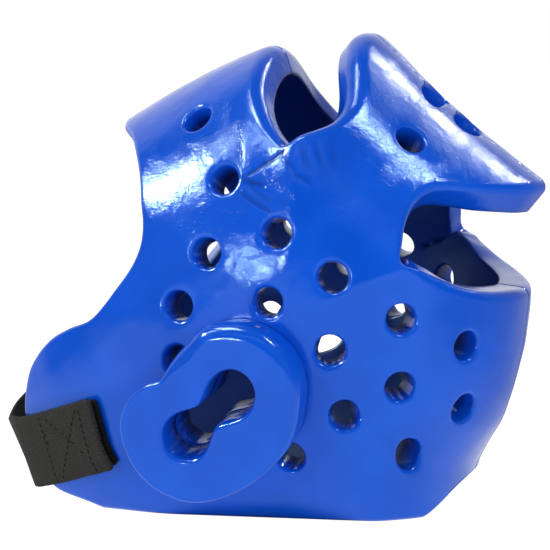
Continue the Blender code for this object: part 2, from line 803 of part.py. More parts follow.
def build_strap(elastic, hook):
    """The elastic loop and the hook tape under each of its ends."""
    low = STRAP_GAP + HOOK_THICK + STRAP_GAP
    build_band("chin_strap", strap_sections(low, low + STRAP_THICK), elastic)
    rows = space_evenly(spline(STRAP), count=241, measured=slice(0, 3))
    length = np.linalg.norm(np.diff(rows[:, :3], axis=0), axis=1).sum()
    share_long = HOOK_LONG / length
    for name, first in (("strap_hook_left", 0.0), ("strap_hook_right", 1 - share_long)):
        sections = strap_sections(STRAP_GAP, STRAP_GAP + HOOK_THICK, first, first + share_long, HOOK_MARGIN)
        build_band(name, sections, hook)


def main():
    for item in list(bpy.data.objects):
        bpy.data.objects.remove(item, do_unlink=True)
    vinyl = make_material("dipped_blue_vinyl", (0.010, 0.083, 0.68), 0.16, coat=1.0)
    elastic = make_material("woven_elastic", (0.022, 0.022, 0.020), 0.85)
    hook = make_material("hook_tape", (0.008, 0.008, 0.008), 0.9)
    build_shell(vinyl)
    build_pad("ear_pad_left", 1, vinyl)
    build_pad("ear_pad_right", -1, vinyl)
    build_strap(elastic, hook)


main()
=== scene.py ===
import math

import bmesh
import bpy
import numpy as np
from mathutils import Matrix, Vector
from mathutils.geometry import delaunay_2d_cdt
from mathutils.kdtree import KDTree


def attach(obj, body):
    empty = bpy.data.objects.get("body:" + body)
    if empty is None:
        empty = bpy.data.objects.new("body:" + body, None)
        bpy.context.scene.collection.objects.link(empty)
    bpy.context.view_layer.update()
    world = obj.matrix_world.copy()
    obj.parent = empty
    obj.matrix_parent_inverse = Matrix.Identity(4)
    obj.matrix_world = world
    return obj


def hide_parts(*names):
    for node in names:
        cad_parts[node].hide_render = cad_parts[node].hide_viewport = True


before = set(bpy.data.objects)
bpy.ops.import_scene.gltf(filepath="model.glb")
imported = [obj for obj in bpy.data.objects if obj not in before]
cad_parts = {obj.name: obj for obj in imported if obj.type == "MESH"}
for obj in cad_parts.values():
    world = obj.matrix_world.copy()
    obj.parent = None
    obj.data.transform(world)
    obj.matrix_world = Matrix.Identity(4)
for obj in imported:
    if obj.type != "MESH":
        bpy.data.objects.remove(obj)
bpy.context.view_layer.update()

# Looks of a dipped foam head guard. The sheet, the ear pads and the chin strap are worked out
# again from the sizes of the frame's solids, with finer faces, rounder edges and the seams,
# dimples and wrinkles of the dipped skin. Places are in millimetres: +x is the wearer's left,
# "back" grows towards the back of the head and "up" is the height over the rim.

MM = 0.001
MIDDLE_BACK = -1.47          # back of the middle of the whole length, where the origin is set

# The skin: the outer face of the sheet, a dome that bulges to each side of the middle plane
AXIS_Y = 30.0               # where the side axis crosses the middle plane
AXIS_Z = 105.0
HALF_WIDTH = 93.0           # at the side axis
SIDE_POWER = 2.4            # how flat the sides are
OVER_POWER = 2.0            # how round the lobes are where they cross the middle
EASE_DEGREES = 4.0          # rounding of the corners of the middle outline
MEAN_RADIUS = 118.0         # mean distance from the side axis to the middle outline

# The sheet
FOAM = 17.5                 # thickness
RIM_EASE = 45.0             # height over which the wall turns level towards the flat rim
INNER_LIP = 1.3             # rounding of a cut edge on the head's side
SEAM_DEEP = 0.55            # the butt seam along the middle
SEAM_WIDE = 0.9
SEAM_LINE = 0.35            # width of the fine raised line in the seam's middle

# Vent holes and the keyhole slot over the ear
VENT_RADIUS = 7.5
VENT_LIP = 2.2
SLOT_UPPER = (7.4, 71.2)    # back and up, middle of the upper round end
SLOT_LOWER = (-18.0, 49.6)
SLOT_UPPER_RADIUS = 10.8
SLOT_LOWER_RADIUS = 10.4
SLOT_BLEND = 28.5           # how widely the two round ends flow together
SLOT_REACH = 60.0           # further from the slot's middle than any place of its outline
SLOT_LIP = 2.4

# Ear pads
PAD_GAP = 0.7
PAD_THICK = 19.0
PAD_FLATTEN = 0.5           # how far the pad's face is drawn towards a flat one
PAD_SOFT = 8.0              # rounding along the upper and rear side
PAD_CRISP = 1.6             # rounding along the lower and front side
PAD_SOFT_TOWARDS = (0.55, 0.84)    # back and up, the way the soft side faces
PAD_SOFT_FROM = -0.25       # how far round the soft side begins
PAD_SOFT_EASE = 0.9
PAD_WAVES = 1.3             # the pad's unevenness is finer than the sheet's by this
PAD_WAVES_ASIDE = 11.0      # and taken from this far aside
PAD_SHADED = 0.8            # how much of the painted shade its slot's wall takes

# The dipped skin's finish, and the painted shade in its grooves and hollows
RELIEF_DEPTH = 5.0          # depth below the skin where its folds end
RIM_CALM = 4.0              # height over the rim where the skin's unevenness begins
CREASE_SHADE_FULL = 0.9           # a groove this deep gets the full painted shade
PAINTED_SHADE_FROM = 4.0           # depth below the skin where the painted shade of the hole walls and inner face begins
PAINTED_SHADE_RUN = 9.0            # and how much deeper it is full
SLOT_WITHIN = 33.0          # the slot's wall lies nearer to its middle than this
VENT_WITHIN = 0.6           # and a vent's wall no further outside its radius than this

# Chin strap
STRAP_WIDE = 37.0
STRAP_THICK = 1.9
HOOK_THICK = 1.6
HOOK_LONG = 34.0
HOOK_MARGIN = 1.2
SELVEDGE_ROUND = 0.45       # inset of the selvedge's rounding, as a share of the thickness
CORNER_ROUND = 1.8          # of the band ends, seen from above
STRAP_GAP = 0.65            # between the skin, the hook tape and the elastic
STRAP_SHORT = 1.8           # the elastic ends this far before the hook tape under it
DOUBLED = 13.5              # how far from its ends the elastic is folded double
DOUBLED_RISE = 0.9
DOUBLED_STEP = 1.6          # length of the step down to the single layer
HEM_LINE = 4.6              # from the end to the pressed line across it
HEM_WIDE = 0.8
HEM_DEEP = 0.35
JAW_MIDDLE = (0.0, -60.0, 30.0)    # the strap bulges away from here

# Fineness of the visible meshes
GRID = 1.9
INNER_GRID = 4.5
EDGE_STEP = 1.5
END_STEP = 0.5              # close to the middle seam
END_REACH = 4.0
FINE_GRID = 0.7             # near the folds, the bubbles and the middle seam
FINE_REACH = 4.0
GRID_ROOM = 0.62            # least distance from the grid to an edge, in grid steps
STRAP_STEP = 1.6
STRAP_LANES = 22
ROLL_ARCS = 8               # rows of faces round a soft edge
LIP_ARCS = 5                # and round a crisp one, up to CRISP_MOST of rounding
CRISP_MOST = 3.0
PAD_ARCS = 10
WALL_PARTS = (0.25, 0.5, 0.75, 1.0)    # rows down a cut wall
SPAN_MARKS = 24             # from one row of a table to the next
CURVE_MARKS = 4000          # for measuring along a curve
LEVEL_MARKS = 1600          # on the level part of the rim
NAPE_MARKS = 800
STRAP_MARKS = 961
SLOT_MARKS = 1441           # round the slot, first place and last the same
TURN_MARKS = 2881           # from the side axis to the middle plane
HALVINGS = 40               # of a search between two bounds

# Outline of the dome in the middle plane, back and up, going round from the brow
MIDDLE_OUTLINE = (
    (-90, 187), (-78, 195), (-46, 213), (-27, 221.8), (-9, 228.8), (3, 233), (16, 237), (38, 254.5),
    (58.5, 236), (82.5, 211), (108, 187.5), (127, 172), (137.5, 163.8), (151.5, 152), (136, 122),
    (133.5, 107), (132.5, 95), (129.5, 77), (123.5, 54), (118, 38), (110, 25), (103, 12),
    (104.5, 0), (104, -24), (84, -46), (0, -46), (-74, -46), (-138, -16), (-156, 33), (-140, 100),
    (-112, 150))

# Cut edges on the wearer's left: across, back, up and the rounding of the edge
FACE_EDGE = (
    (0, -79, 194.5, 4.0), (22, -74.5, 194, 4.0), (42, -64.5, 190.5, 3.5), (58, -56.6, 181, 3.0),
    (71, -50.6, 166.5, 3.0), (77.5, -47.8, 152, 3.0), (80, -47.5, 140, 3.0), (81, -51.8, 129, 3.0),
    (80, -61.6, 116, 2.5), (77.5, -75.5, 101, 2.5), (71.5, -91.5, 94, 2.5), (65.5, -102.5, 88, 2.5),
    (60, -112.5, 79, 2.5), (57, -119, 70.5, 2.5), (56.5, -121.5, 60, 2.5), (58, -121.5, 44, 2.5),
    (57, -119, 33, 2.5), (56.5, -115.5, 21.5, 2.5), (57, -111, 14.5, 2.5), (58.5, -106, 9.5, 2.5),
    (60.5, -97, 5.4, 2.5), (62.5, -88, 1.8, 2.5))
RIM_START = -78.0           # back of the face edge, where the edge reaches the rim plane
RIM_SOFT = 2.5
NAPE_HALF = 58.0            # across, where the rim leaves its plane behind the neck
NAPE_RISE = 11.5            # how far it has risen at the middle
NAPE_POWER = 2.7
BACK_MOST = 160.0           # further back than any place of the skin

REAR_NOTCH = (
    (0, 133, 107, 5.0), (20, 131, 108, 5.0), (43, 124, 110, 5.0), (58, 116, 113, 5.0),
    (70, 106, 117.5, 5.0), (79, 94, 124, 4.0), (83.5, 85.5, 129, 2.0), (82, 86, 140, 4.0),
    (77.5, 88, 151, 4.0), (72, 92, 159.5, 4.0), (65, 99.5, 164.5, 4.0), (46, 124, 162.4, 4.0),
    (22, 139, 159.4, 4.5), (0, 142.5, 157.6, 4.5))

CROWN_REAR_HOLE = (
    (0, 110.5, 186.5, 2.5), (9, 110, 186.5, 2.5), (15, 107, 188, 2.5), (17.5, 103, 190.5, 2.0),
    (15.5, 100, 193.5, 1.7), (9, 98.5, 195.5, 1.7), (0, 98, 196, 1.7))

CROWN_FRONT_HOLE = (
    (0, 92.5, 201, 1.7), (10, 92.5, 201, 1.7), (17, 92, 201, 1.7), (20.5, 89.5, 202.5, 2.0),
    (19, 86, 205.5, 2.5), (12, 82.5, 209, 2.5), (0, 81.5, 210, 2.5))

FRONT_NOTCH = (
    (0, 53, 242.5, 9.0), (18, 52.5, 240, 9.0), (36.5, 54, 229.5, 9.0), (52, 56.5, 215, 9.0),
    (60.5, 55.5, 204, 8.0), (67.5, 51, 196, 6.0), (72, 44, 191.5, 5.0), (76, 34, 187.5, 4.0),
    (78, 27.5, 184.5, 2.5), (75, 22.5, 191, 5.0), (66, 14.5, 205, 7.0), (55, 9.5, 215.5, 7.5),
    (41, 7.5, 223.5, 7.5), (20, 7, 230, 7.5), (0, 7, 234, 7.5))

# Middles of the vent holes on each side, back and up
VENTS = (
    (-22.4, 198.4), (-2.5, 169.6), (25.8, 144.4), (-10.1, 134.6), (-25.2, 108.5), (21.1, 111.2),
    (53.2, 123.2), (84.6, 102.1), (51.1, 87.9), (111.5, 85.6), (82.7, 68.4), (56.6, 55.8),
    (108.2, 53.5), (83.9, 33.9), (27.9, 34.4), (-26.2, 82.1), (84.9, 186.6))

# Outline of the ear pad where it meets the sheet, back and up, going round
PAD_OUTLINE = (
    (-47.5, 57), (-42.5, 66.5), (-34, 73.5), (-27.5, 76), (-22.5, 83.5), (-14, 92.5), (-5, 101),
    (9, 103), (22.5, 100), (33.5, 91), (39.5, 78), (39.5, 64), (34.5, 48), (23.5, 37.2),
    (5.5, 25.8), (-12, 20.6), (-28.5, 22), (-41, 31.2), (-48.6, 45))

# The chin strap's upper and lower selvedge: its end on the left jaw, and the loop from there on
#              upper: across back up   lower: across back up    on the skin
STRAP_ON_JAW = ((81, -71.5, 61.5, 78, -61, 27.5, 1.0),
                (77.5, -82.5, 58.5, 74.5, -74, 23, 1.0),
                (72.5, -95, 54.5, 70, -86, 18.5, 1.0),
                (66, -107, 50.5, 64, -98, 14.5, 1.0))
STRAP_LOOP = ((58, -119, 46.5, 58, -107.5, 12, 1.0),
              (50, -127, 46.5, 38, -117.6, 13.5, 0.0),
              (32.8, -135.1, 42.2, 16.3, -130.4, 10, 0.0),
              (6.3, -140.4, 46.3, -8, -133.8, 13, 0.0),
              (-22, -137.5, 52.2, -29.3, -129.9, 17.2, 0.0),
              (-45, -129.5, 53.3, -46.2, -120, 18, 0.0),
              (-58, -119, 48.5, -58, -107.5, 13.5, 1.0))

# Runs of stitches on each strap end: millimetres from the end, and share of the width from the
# upper selvedge
#                  from             to
STITCHES = (((9.6, 0.14), (9.6, 0.93)),
            ((38.0, 0.07), (38.0, 0.95)),
            ((36.6, 0.30), (36.6, 0.42)),
            ((12.0, 0.12), (33.0, 0.92)),
            ((33.0, 0.12), (14.0, 0.66)))
STITCH_PITCH = 3.3
STITCH_LONG = 2.8
STITCH_STEP = 0.5           # between the corners of a run
THREAD_RADIUS = 0.42
THREAD_SUNK = 0.08          # the thread's middle is this far below the strap's face

# Grooves and folds of the skin, in millimetres on the flat pattern round the side axis
#              from             to            wide  deep  on both sides
FOLDS = (((-2.5, 67.4), (-10.1, 66.4), 0.9, 1.15, True),
         ((-10.1, 66.4), (-17.9, 62.0), 0.7, 0.95, True),
         ((-21.5, 60.3), (-10.4, 56.4), 1.3, 0.60, True),
         ((-20.8, 53.9), (-7.0, 44.7), 1.1, 0.50, False),
         ((-17.6, 56.4), (-8.0, 49.6), 1.3, 0.30, False),
         ((-2.8, 65.2), (4.3, 54.4), 0.8, 0.30, False),
         ((4.3, 54.4), (9.9, 54.9), 0.9, 0.30, False),
         ((-10.1, 61.1), (-2.9, 51.8), 0.9, -0.18, False),
         ((6.0, 66.5), (8.5, 61.0), 1.8, 0.28, False),
         ((12.4, 71.0), (15.2, 65.4), 2.2, 0.28, False),
         ((19.0, 76.0), (21.5, 69.0), 2.6, 0.22, False),
         ((-27.5, 88.1), (-24.7, 79.0), 1.6, 0.16, False),
         ((-24.7, 79.0), (-22.1, 69.5), 1.6, 0.20, False))

# Rows of tiny bubbles caught under the skin, from one place to another on the pattern
BUBBLES = (((-27.5, 88.1), (-22.1, 69.5)),
           ((-10.1, 61.1), (3.6, 45.2)),
           ((-4.5, 69.0), (-3.5, 66.2)))
BUBBLES_WIDE = 0.8

# Slow unevenness of the foam under the skin, as waves over the places
#               across  back   up    wavelength  height
WAVES = ((0.20, 0.90, 0.38, 61.0, 0.16),
         (0.52, -0.40, 0.76, 43.0, 0.11),
         (-0.60, 0.75, -0.28, 31.0, 0.075),
         (0.10, 0.55, -0.83, 23.0, 0.045),
         (0.80, 0.33, 0.50, 17.5, 0.028),
         (-0.25, -0.66, 0.71, 12.5, 0.016))


# Smooth steps and splines

def smooth_step(value):
    """Ease from 0 to 1 as value goes from 0 to 1."""
    value = np.clip(value, 0.0, 1.0)
    return value * value * (3.0 - 2.0 * value)


def unit(vectors):
    """The directions of rows of vectors, one unit long."""
    return vectors / np.linalg.norm(vectors, axis=1, keepdims=True)


def between_knots(one, two, low, high, t):
    """The place at t on the way from one, at low, to two, at high."""
    return (high - t) / (high - low) * one + (t - low) / (high - low) * two


def spline(rows, closed=False):
    """Points of a centripetal curve through the rows, close together."""
    rows = np.asarray(rows, float)
    if closed:
        rows = np.vstack([rows[-1], rows, rows[0], rows[1]])
    else:
        rows = np.vstack([2 * rows[0] - rows[1], rows, 2 * rows[-1] - rows[-2]])
    points = []
    for before, start, end, after in zip(rows, rows[1:], rows[2:], rows[3:]):
        knots = [0.0]
        for one, two in ((before, start), (start, end), (end, after)):
            knots.append(knots[-1] + max(np.linalg.norm(two - one), 1e-9) ** 0.5)
        t = np.linspace(knots[1], knots[2], SPAN_MARKS, endpoint=False)[:, None]
        arriving = between_knots(before, start, knots[0], knots[1], t)
        crossing = between_knots(start, end, knots[1], knots[2], t)
        leaving = between_knots(end, after, knots[2], knots[3], t)
        earlier = between_knots(arriving, crossing, knots[0], knots[2], t)
        later = between_knots(crossing, leaving, knots[1], knots[3], t)
        points.append(between_knots(earlier, later, knots[1], knots[2], t))
    points = np.vstack(points)
    return points if closed else np.vstack([points, rows[-2]])


def run_along(points):
    """Distance along a curve from its first point to each of them."""
    return np.concatenate([[0.0], np.cumsum(np.linalg.norm(np.diff(points, axis=0), axis=1))])


def places_at(marks, run, points):
    """Rows of a curve at marks along its run."""
    return np.stack([np.interp(marks, run, column) for column in points.T], axis=1)


def space_evenly(points, step=None, count=None, closed=False, measured=slice(None)):
    """The same curve with points an even distance apart, measured in the given columns."""
    if closed:
        points = np.vstack([points, points[0]])
    run = run_along(points[:, measured])
    if count is None:
        count = max(2, int(round(run[-1] / step))) + (0 if closed else 1)
    marks = np.linspace(0.0, run[-1], count, endpoint=not closed)
    return places_at(marks, run, points)


def space_to_ends(points, ends, measured=slice(None)):
    """The same curve with points an edge step apart, and closer near the ends that are asked for."""
    run = run_along(points[:, measured])
    fine_run = np.linspace(0.0, run[-1], CURVE_MARKS)
    away = np.full(len(fine_run), 1e9)
    if ends[0]:
        away = np.minimum(away, fine_run)
    if ends[1]:
        away = np.minimum(away, run[-1] - fine_run)
    local = END_STEP + (EDGE_STEP - END_STEP) * smooth_step((away - END_REACH) / END_REACH)
    steps = np.concatenate([[0.0], np.cumsum(np.diff(fine_run) / ((local[1:] + local[:-1]) / 2))])
    count = max(3, int(round(steps[-1])) + 1)
    marks = np.interp(np.linspace(0.0, steps[-1], count), steps, fine_run)
    return places_at(marks, run, points)


# The dome

def outline_reach():
    """Distance from the side axis to the middle outline for every half degree, with eased corners."""
    angles = np.radians(np.arange(-180.0, 180.0, 0.5))
    corners = np.asarray(MIDDLE_OUTLINE, float) - (AXIS_Y, AXIS_Z)
    reach = np.zeros(len(angles))
    for start, end in zip(corners, np.roll(corners, -1, axis=0)):
        side = end - start
        across = np.cos(angles) * side[1] - np.sin(angles) * side[0]
        across = np.where(np.abs(across) < 1e-9, 1e-9, across)
        far = (start[0] * side[1] - start[1] * side[0]) / across
        along = (start[0] * np.sin(angles) - start[1] * np.cos(angles)) / across
        reach = np.where((far > 0) & (along >= -1e-9) & (along <= 1 + 1e-9), np.maximum(reach, far), reach)
    half = int(2 * EASE_DEGREES)
    weights = np.hanning(2 * half + 3)[1:-1]
    around = np.concatenate([reach[-half:], reach, reach[:half]])
    return angles, np.convolve(around, weights / weights.sum(), "valid")


REACH_ANGLES, REACH = outline_reach()
TURN = np.linspace(0.0, math.pi / 2, TURN_MARKS)
TURN_RUN = np.concatenate([[0.0], np.cumsum(np.hypot(
    np.diff(MEAN_RADIUS * np.sin(TURN) ** (2 / SIDE_POWER)),
    np.diff(HALF_WIDTH * np.cos(TURN) ** (2 / OVER_POWER))))])
MIDDLE = TURN_RUN[-1]       # distance over the skin from the side axis to the middle plane


def reach(angle):
    """Distance from the side axis to the middle outline in a direction."""
    return np.interp(angle, REACH_ANGLES, REACH, period=2 * math.pi)


def share(back, up):
    """0 at the side axis, 1 at the middle outline."""
    back, up = back - AXIS_Y, up - AXIS_Z
    return np.hypot(back, up) / reach(np.arctan2(up, back))


def flatten_place(points):
    """Places on the skin's flat pattern: distance from the side axis, in a direction."""
    points = np.atleast_2d(points)
    angle = np.arctan2(points[:, 2] - AXIS_Z, points[:, 1] - AXIS_Y)
    rise = share(points[:, 1], points[:, 2]) ** (SIDE_POWER / 2)
    fall = np.clip(np.abs(points[:, 0]) / HALF_WIDTH, 0.0, 1.0) ** (OVER_POWER / 2)
    run = np.interp(np.arctan2(rise, fall), TURN, TURN_RUN)
    return np.stack([run * np.cos(angle), run * np.sin(angle)], axis=1)


def skin(pattern):
    """Places on the dome for places on the flat pattern."""
    run = np.hypot(pattern[:, 0], pattern[:, 1])
    angle = np.arctan2(pattern[:, 1], pattern[:, 0])
    turn = np.interp(run, TURN_RUN, TURN)
    far = np.sin(turn) ** (2 / SIDE_POWER) * reach(angle)
    across = np.where(run > MIDDLE - 1e-6, 0.0, HALF_WIDTH * np.cos(turn) ** (2 / OVER_POWER))
    return np.stack([across, AXIS_Y + far * np.cos(angle), AXIS_Z + far * np.sin(angle)], axis=1)


def skin_across(back, up):
    """Half-width of the dome at a place in the side view."""
    return HALF_WIDTH * np.clip(1 - share(back, up) ** SIDE_POWER, 0.0, 1.0) ** (1 / OVER_POWER)


def outward(points):
    """Unit directions square to the dome, away from the head."""
    step = 0.4
    back, up = points[:, 1], points[:, 2]
    slope = np.stack([
        OVER_POWER / HALF_WIDTH * (np.abs(points[:, 0]) / HALF_WIDTH) ** (OVER_POWER - 1),
        (share(back + step, up) ** SIDE_POWER - share(back - step, up) ** SIDE_POWER) / (2 * step),
        (share(back, up + step) ** SIDE_POWER - share(back, up - step) ** SIDE_POWER) / (2 * step)], axis=1)
    return unit(slope)


def inward(points):
    """Unit directions through the sheet, which turn level towards the flat rim."""
    through = -outward(points)
    through[:, 2] *= 1 - smooth_step(1 - points[:, 2] / RIM_EASE)
    return unit(through)


# Cut edges

class Edge:
    """A cut edge on the flat pattern, with its rounding and the direction into the sheet."""

    def __init__(self, places, soft, closed, inside_left=True):
        self.closed = closed
        self.soft = np.broadcast_to(np.asarray(soft, float), (len(places),)).copy()
        self.points = places
        if closed:
            along = np.roll(places, -1, axis=0) - np.roll(places, 1, axis=0)
        else:
            along = np.gradient(places, axis=0)
            for end in (0, -1):
                if places[end, 0] < 1e-6:
                    along[end, 1:] = 0.0
        into = np.cross(outward(places), unit(along))
        self.into = into if inside_left else -into

    def row(self, inset, depth):
        """Places at an inset from the edge and a depth below the skin."""
        moved = self.points + self.into * np.broadcast_to(inset, (len(self.points),))[:, None]
        base = skin(flatten_place(moved))
        if not self.closed:
            base[self.points[:, 0] < 1e-6, 0] = 0.0
        return base, base + inward(base) * np.broadcast_to(depth, (len(self.points),))[:, None]


def edge_from_rows(rows):
    """An open edge through rows of across, back, up and soft."""
    rows = np.asarray(rows, float)
    flat = flatten_place(rows[:, :3])
    at_middle = tuple(rows[end, 0] == 0 for end in (0, -1))
    curve = spline(np.column_stack([flat, rows[:, 3]]))
    curve = space_to_ends(curve, at_middle, measured=slice(0, 2))
    places = skin(curve[:, :2])
    for end in (0, -1):
        if rows[end, 0] == 0:
            places[end, 0] = 0.0
    return places, curve[:, 2]


def furthest(inside, near, far):
    """The furthest places between two bounds that still lie inside."""
    for _ in range(HALVINGS):
        half = (near + far) / 2
        within = inside(half)
        near, far = np.where(within, half, near), np.where(within, far, half)
    return near


def back_at(across, up):
    """How far back the rear of the skin is at a place across and a height."""
    wanted = (1 - (across / HALF_WIDTH) ** OVER_POWER) ** (1 / SIDE_POWER)
    return furthest(lambda back: share(back, up) < wanted,
                    np.full(len(across), AXIS_Y), np.full(len(across), BACK_MOST))


def rim_places():
    """Points of the rim: in its plane from the jaw back, then rising behind the neck."""
    corner_back = float(back_at(np.array([NAPE_HALF]), np.zeros(1))[0])
    back = np.linspace(RIM_START, corner_back, LEVEL_MARKS)
    level = np.stack([skin_across(back, np.zeros_like(back)), back, np.zeros_like(back)], axis=1)
    across = np.linspace(NAPE_HALF, 0.0, NAPE_MARKS)[1:]
    up = NAPE_RISE * (1 - (across / NAPE_HALF) ** NAPE_POWER)
    behind = np.stack([across, back_at(across, up), up], axis=1)
    return space_to_ends(np.vstack([level, behind]), (False, True))


def round_edge(middle, radius, sides):
    """Points of a round cut on the skin about a place given by back and up."""
    centre = np.array([[skin_across(*middle), middle[0], middle[1]]])
    out = outward(centre)[0]
    level = np.cross((0.0, 0.0, 1.0), out)
    level /= np.linalg.norm(level)
    upright = np.cross(out, level)
    turn = np.linspace(0.0, 2 * math.pi, sides, endpoint=False)[:, None]
    return skin(flatten_place(centre + radius * (np.cos(turn) * level + np.sin(turn) * upright)))


def slot_places():
    """Points of the keyhole slot: two round ends that flow into each other."""
    upper, lower = np.array(SLOT_UPPER), np.array(SLOT_LOWER)
    middle = (upper + lower) / 2
    turn = np.linspace(0.0, 2 * math.pi, SLOT_MARKS)[:-1]
    ray = np.stack([np.cos(turn), np.sin(turn)], axis=1)

    def inside(reached):
        place = middle + ray * reached[:, None]
        one = np.linalg.norm(place - upper, axis=1) - SLOT_UPPER_RADIUS
        two = np.linalg.norm(place - lower, axis=1) - SLOT_LOWER_RADIUS
        blend = np.clip(SLOT_BLEND - np.abs(one - two), 0.0, None) / SLOT_BLEND
        return np.minimum(one, two) - blend ** 2 * SLOT_BLEND / 4 < 0

    reached = furthest(inside, np.zeros(len(turn)), np.full(len(turn), SLOT_REACH))
    outline = middle + ray * reached[:, None]
    places = np.column_stack([skin_across(outline[:, 0], outline[:, 1]), outline])
    return space_evenly(places, step=EDGE_STEP, closed=True)


# Meshes

def inside_loop(places, loop):
    """Which places lie inside a closed loop on the pattern."""
    inside = np.zeros(len(places), bool)
    for start, end in zip(loop, np.roll(loop, -1, axis=0)):
        crosses = (start[1] > places[:, 1]) != (end[1] > places[:, 1])
        rise = end[1] - start[1] if end[1] != start[1] else 1e-12
        inside ^= crosses & (places[:, 0] < (end[0] - start[0]) * (places[:, 1] - start[1]) / rise + start[0])
    return inside


def staggered(low, high, grid):
    """A staggered grid of places between two corners."""
    rows = []
    for count, up in enumerate(np.arange(low[1], high[1], grid * math.sqrt(3) / 2)):
        across = np.arange(low[0] + (count % 2) * grid / 2, high[0], grid)
        rows.append(np.stack([across, np.full(len(across), up)], axis=1))
    return np.vstack(rows)


def distance_to_run(places, start, end):
    """Distance from places on the pattern to a straight run between two others."""
    start, end = np.asarray(start, float), np.asarray(end, float)
    side = end - start
    along = np.clip(((places - start) @ side) / max(side @ side, 1e-12), 0.0, 1.0)
    return np.linalg.norm(places - start - along[:, None] * side, axis=1), along


def between_loops(places, loops):
    """Which places lie inside the first loop and outside the others."""
    keep = inside_loop(places, loops[0])
    for loop in loops[1:]:
        middle = loop.mean(axis=0)
        about = np.linalg.norm(places - middle, axis=1) < np.linalg.norm(loop - middle, axis=1).max()
        keep[about] &= ~inside_loop(places[about], loop)
    return keep


def near_runs(places, runs):
    """Which places lie near the middle seam or one of the runs."""
    near = np.hypot(places[:, 0], places[:, 1]) > MIDDLE - FINE_REACH
    for start, end in runs:
        near |= distance_to_run(places, start, end)[0] < FINE_REACH
    return near


def cover(loops, grid, runs=()):
    """Triangles over the area inside the first loop and outside the others.

    The corners are the loops' points, in order, and then a staggered grid between them, finer
    near the given runs and near the middle seam.
    """
    edge_points = np.vstack(loops)
    low, high = edge_points.min(axis=0), edge_points.max(axis=0)
    inner = staggered(low, high, grid)
    steps = np.full(len(inner), grid)
    if runs:
        inner = inner[~near_runs(inner, runs)]
        close = staggered(low, high, FINE_GRID)
        close = close[near_runs(close, runs)]
        steps = np.repeat([grid, FINE_GRID], [len(inner), len(close)])
        inner = np.vstack([inner, close])
    keep = between_loops(inner, loops)
    inner, steps = inner[keep], steps[keep]
    tree = KDTree(len(edge_points))
    for number, point in enumerate(edge_points):
        tree.insert((point[0], point[1], 0.0), number)
    tree.balance()
    room = np.array([tree.find((point[0], point[1], 0.0))[2] for point in inner])
    inner = inner[room > GRID_ROOM * np.minimum(steps, EDGE_STEP * 1.2)]
    points = np.vstack([edge_points, inner])
    edges, start = [], 0
    for loop in loops:
        edges += [(start + i, start + (i + 1) % len(loop)) for i in range(len(loop))]
        start += len(loop)
    result = delaunay_2d_cdt([Vector(point) for point in points], edges, [], 0, 1e-5)
    if any(not ids for ids in result[3]):
        raise ValueError("cut edges cross")
    source = np.array([ids[0] for ids in result[3]])
    triangles = source[np.array(result[2])]
    return points, triangles[between_loops(points[triangles].mean(axis=1), loops)]


def strip(first, second, closed):
    """Triangles between two rows of corner numbers."""
    first, second = np.asarray(first), np.asarray(second)
    if closed:
        first, second = np.append(first, first[0]), np.append(second, second[0])
    one = np.stack([first[:-1], second[:-1], second[1:]], axis=1)
    two = np.stack([first[:-1], second[1:], first[1:]], axis=1)
    return np.vstack([one, two])


def mirror_half(corners, faces, *more):
    """A whole body from its left half: corners in the middle plane are shared."""
    shared = np.abs(corners[:, 0]) < 1e-6
    corners = corners.copy()
    corners[shared, 0] = 0.0
    twin = np.arange(len(corners))
    twin[~shared] = len(corners) + np.arange((~shared).sum())
    other = corners[~shared] * (-1, 1, 1)
    extra = [np.concatenate([column, column[~shared]]) for column in more]
    return (np.vstack([corners, other]), np.vstack([faces, twin[faces][:, ::-1]]), *extra)


def roll(soft, arcs):
    """Insets and depths of the rows round an edge, from the skin down to the wall."""
    return [(soft * (1 - math.sin(turn)), soft * (1 - math.cos(turn)))
            for turn in np.linspace(0.0, math.pi / 2, arcs + 1)[1:]]


class Body:
    """Corners and triangles of one body while it is put together.

    Each corner keeps its base, the place on the skin that it belongs to, and its depth.
    """

    def __init__(self):
        self.corners = []
        self.bases = []
        self.depths = []
        self.faces = []
        self.count = 0

    def add(self, corners, bases=None, depth=0.0):
        """Add corners and give their numbers."""
        self.corners.append(corners)
        self.bases.append(corners if bases is None else bases)
        self.depths.append(np.broadcast_to(depth, (len(corners),)).astype(float))
        self.count += len(corners)
        return np.arange(self.count - len(corners), self.count)

    def row(self, last, closed, corners, bases, depth):
        """Add a row of corners, and faces from the last row to it."""
        ids = self.add(corners, bases, depth)
        self.faces.append(strip(last, ids, closed))
        return ids

    def arrays(self):
        return (np.vstack(self.corners), np.vstack(self.faces),
                np.vstack(self.bases), np.concatenate(self.depths))


def in_frame(places):
    """Places in millimetres as places in the frame."""
    return (places - (0.0, MIDDLE_BACK, 0.0)) * MM


def add_item(name, data):
    """A new object in the scene."""
    item = bpy.data.objects.new(name, data)
    bpy.context.scene.collection.objects.link(item)
    return item


def make_piece(name, corners, faces, material):
    """One named object from corners in millimetres, shaded smooth, with its faces outwards."""
    used, compact = np.unique(faces, return_inverse=True)
    if len(used) != len(corners):
        raise ValueError(name + " has loose corners")
    mesh = bpy.data.meshes.new(name)
    mesh.from_pydata(in_frame(corners[used]).tolist(), [], compact.reshape(faces.shape).tolist())
    mesh.update()
    work = bmesh.new()
    work.from_mesh(mesh)
    bmesh.ops.recalc_face_normals(work, faces=work.faces)
    if work.calc_volume(signed=True) < 0:
        bmesh.ops.reverse_faces(work, faces=work.faces)
    work.to_mesh(mesh)
    work.free()
    mesh.shade_smooth()
    mesh.materials.append(material)
    return add_item(name, mesh)


def add_values(item, name, values):
    """A number kept at each of the mesh's corners."""
    layer = item.data.attributes.new(name, "FLOAT", "POINT")
    layer.data.foreach_set("value", np.asarray(values, np.float32))


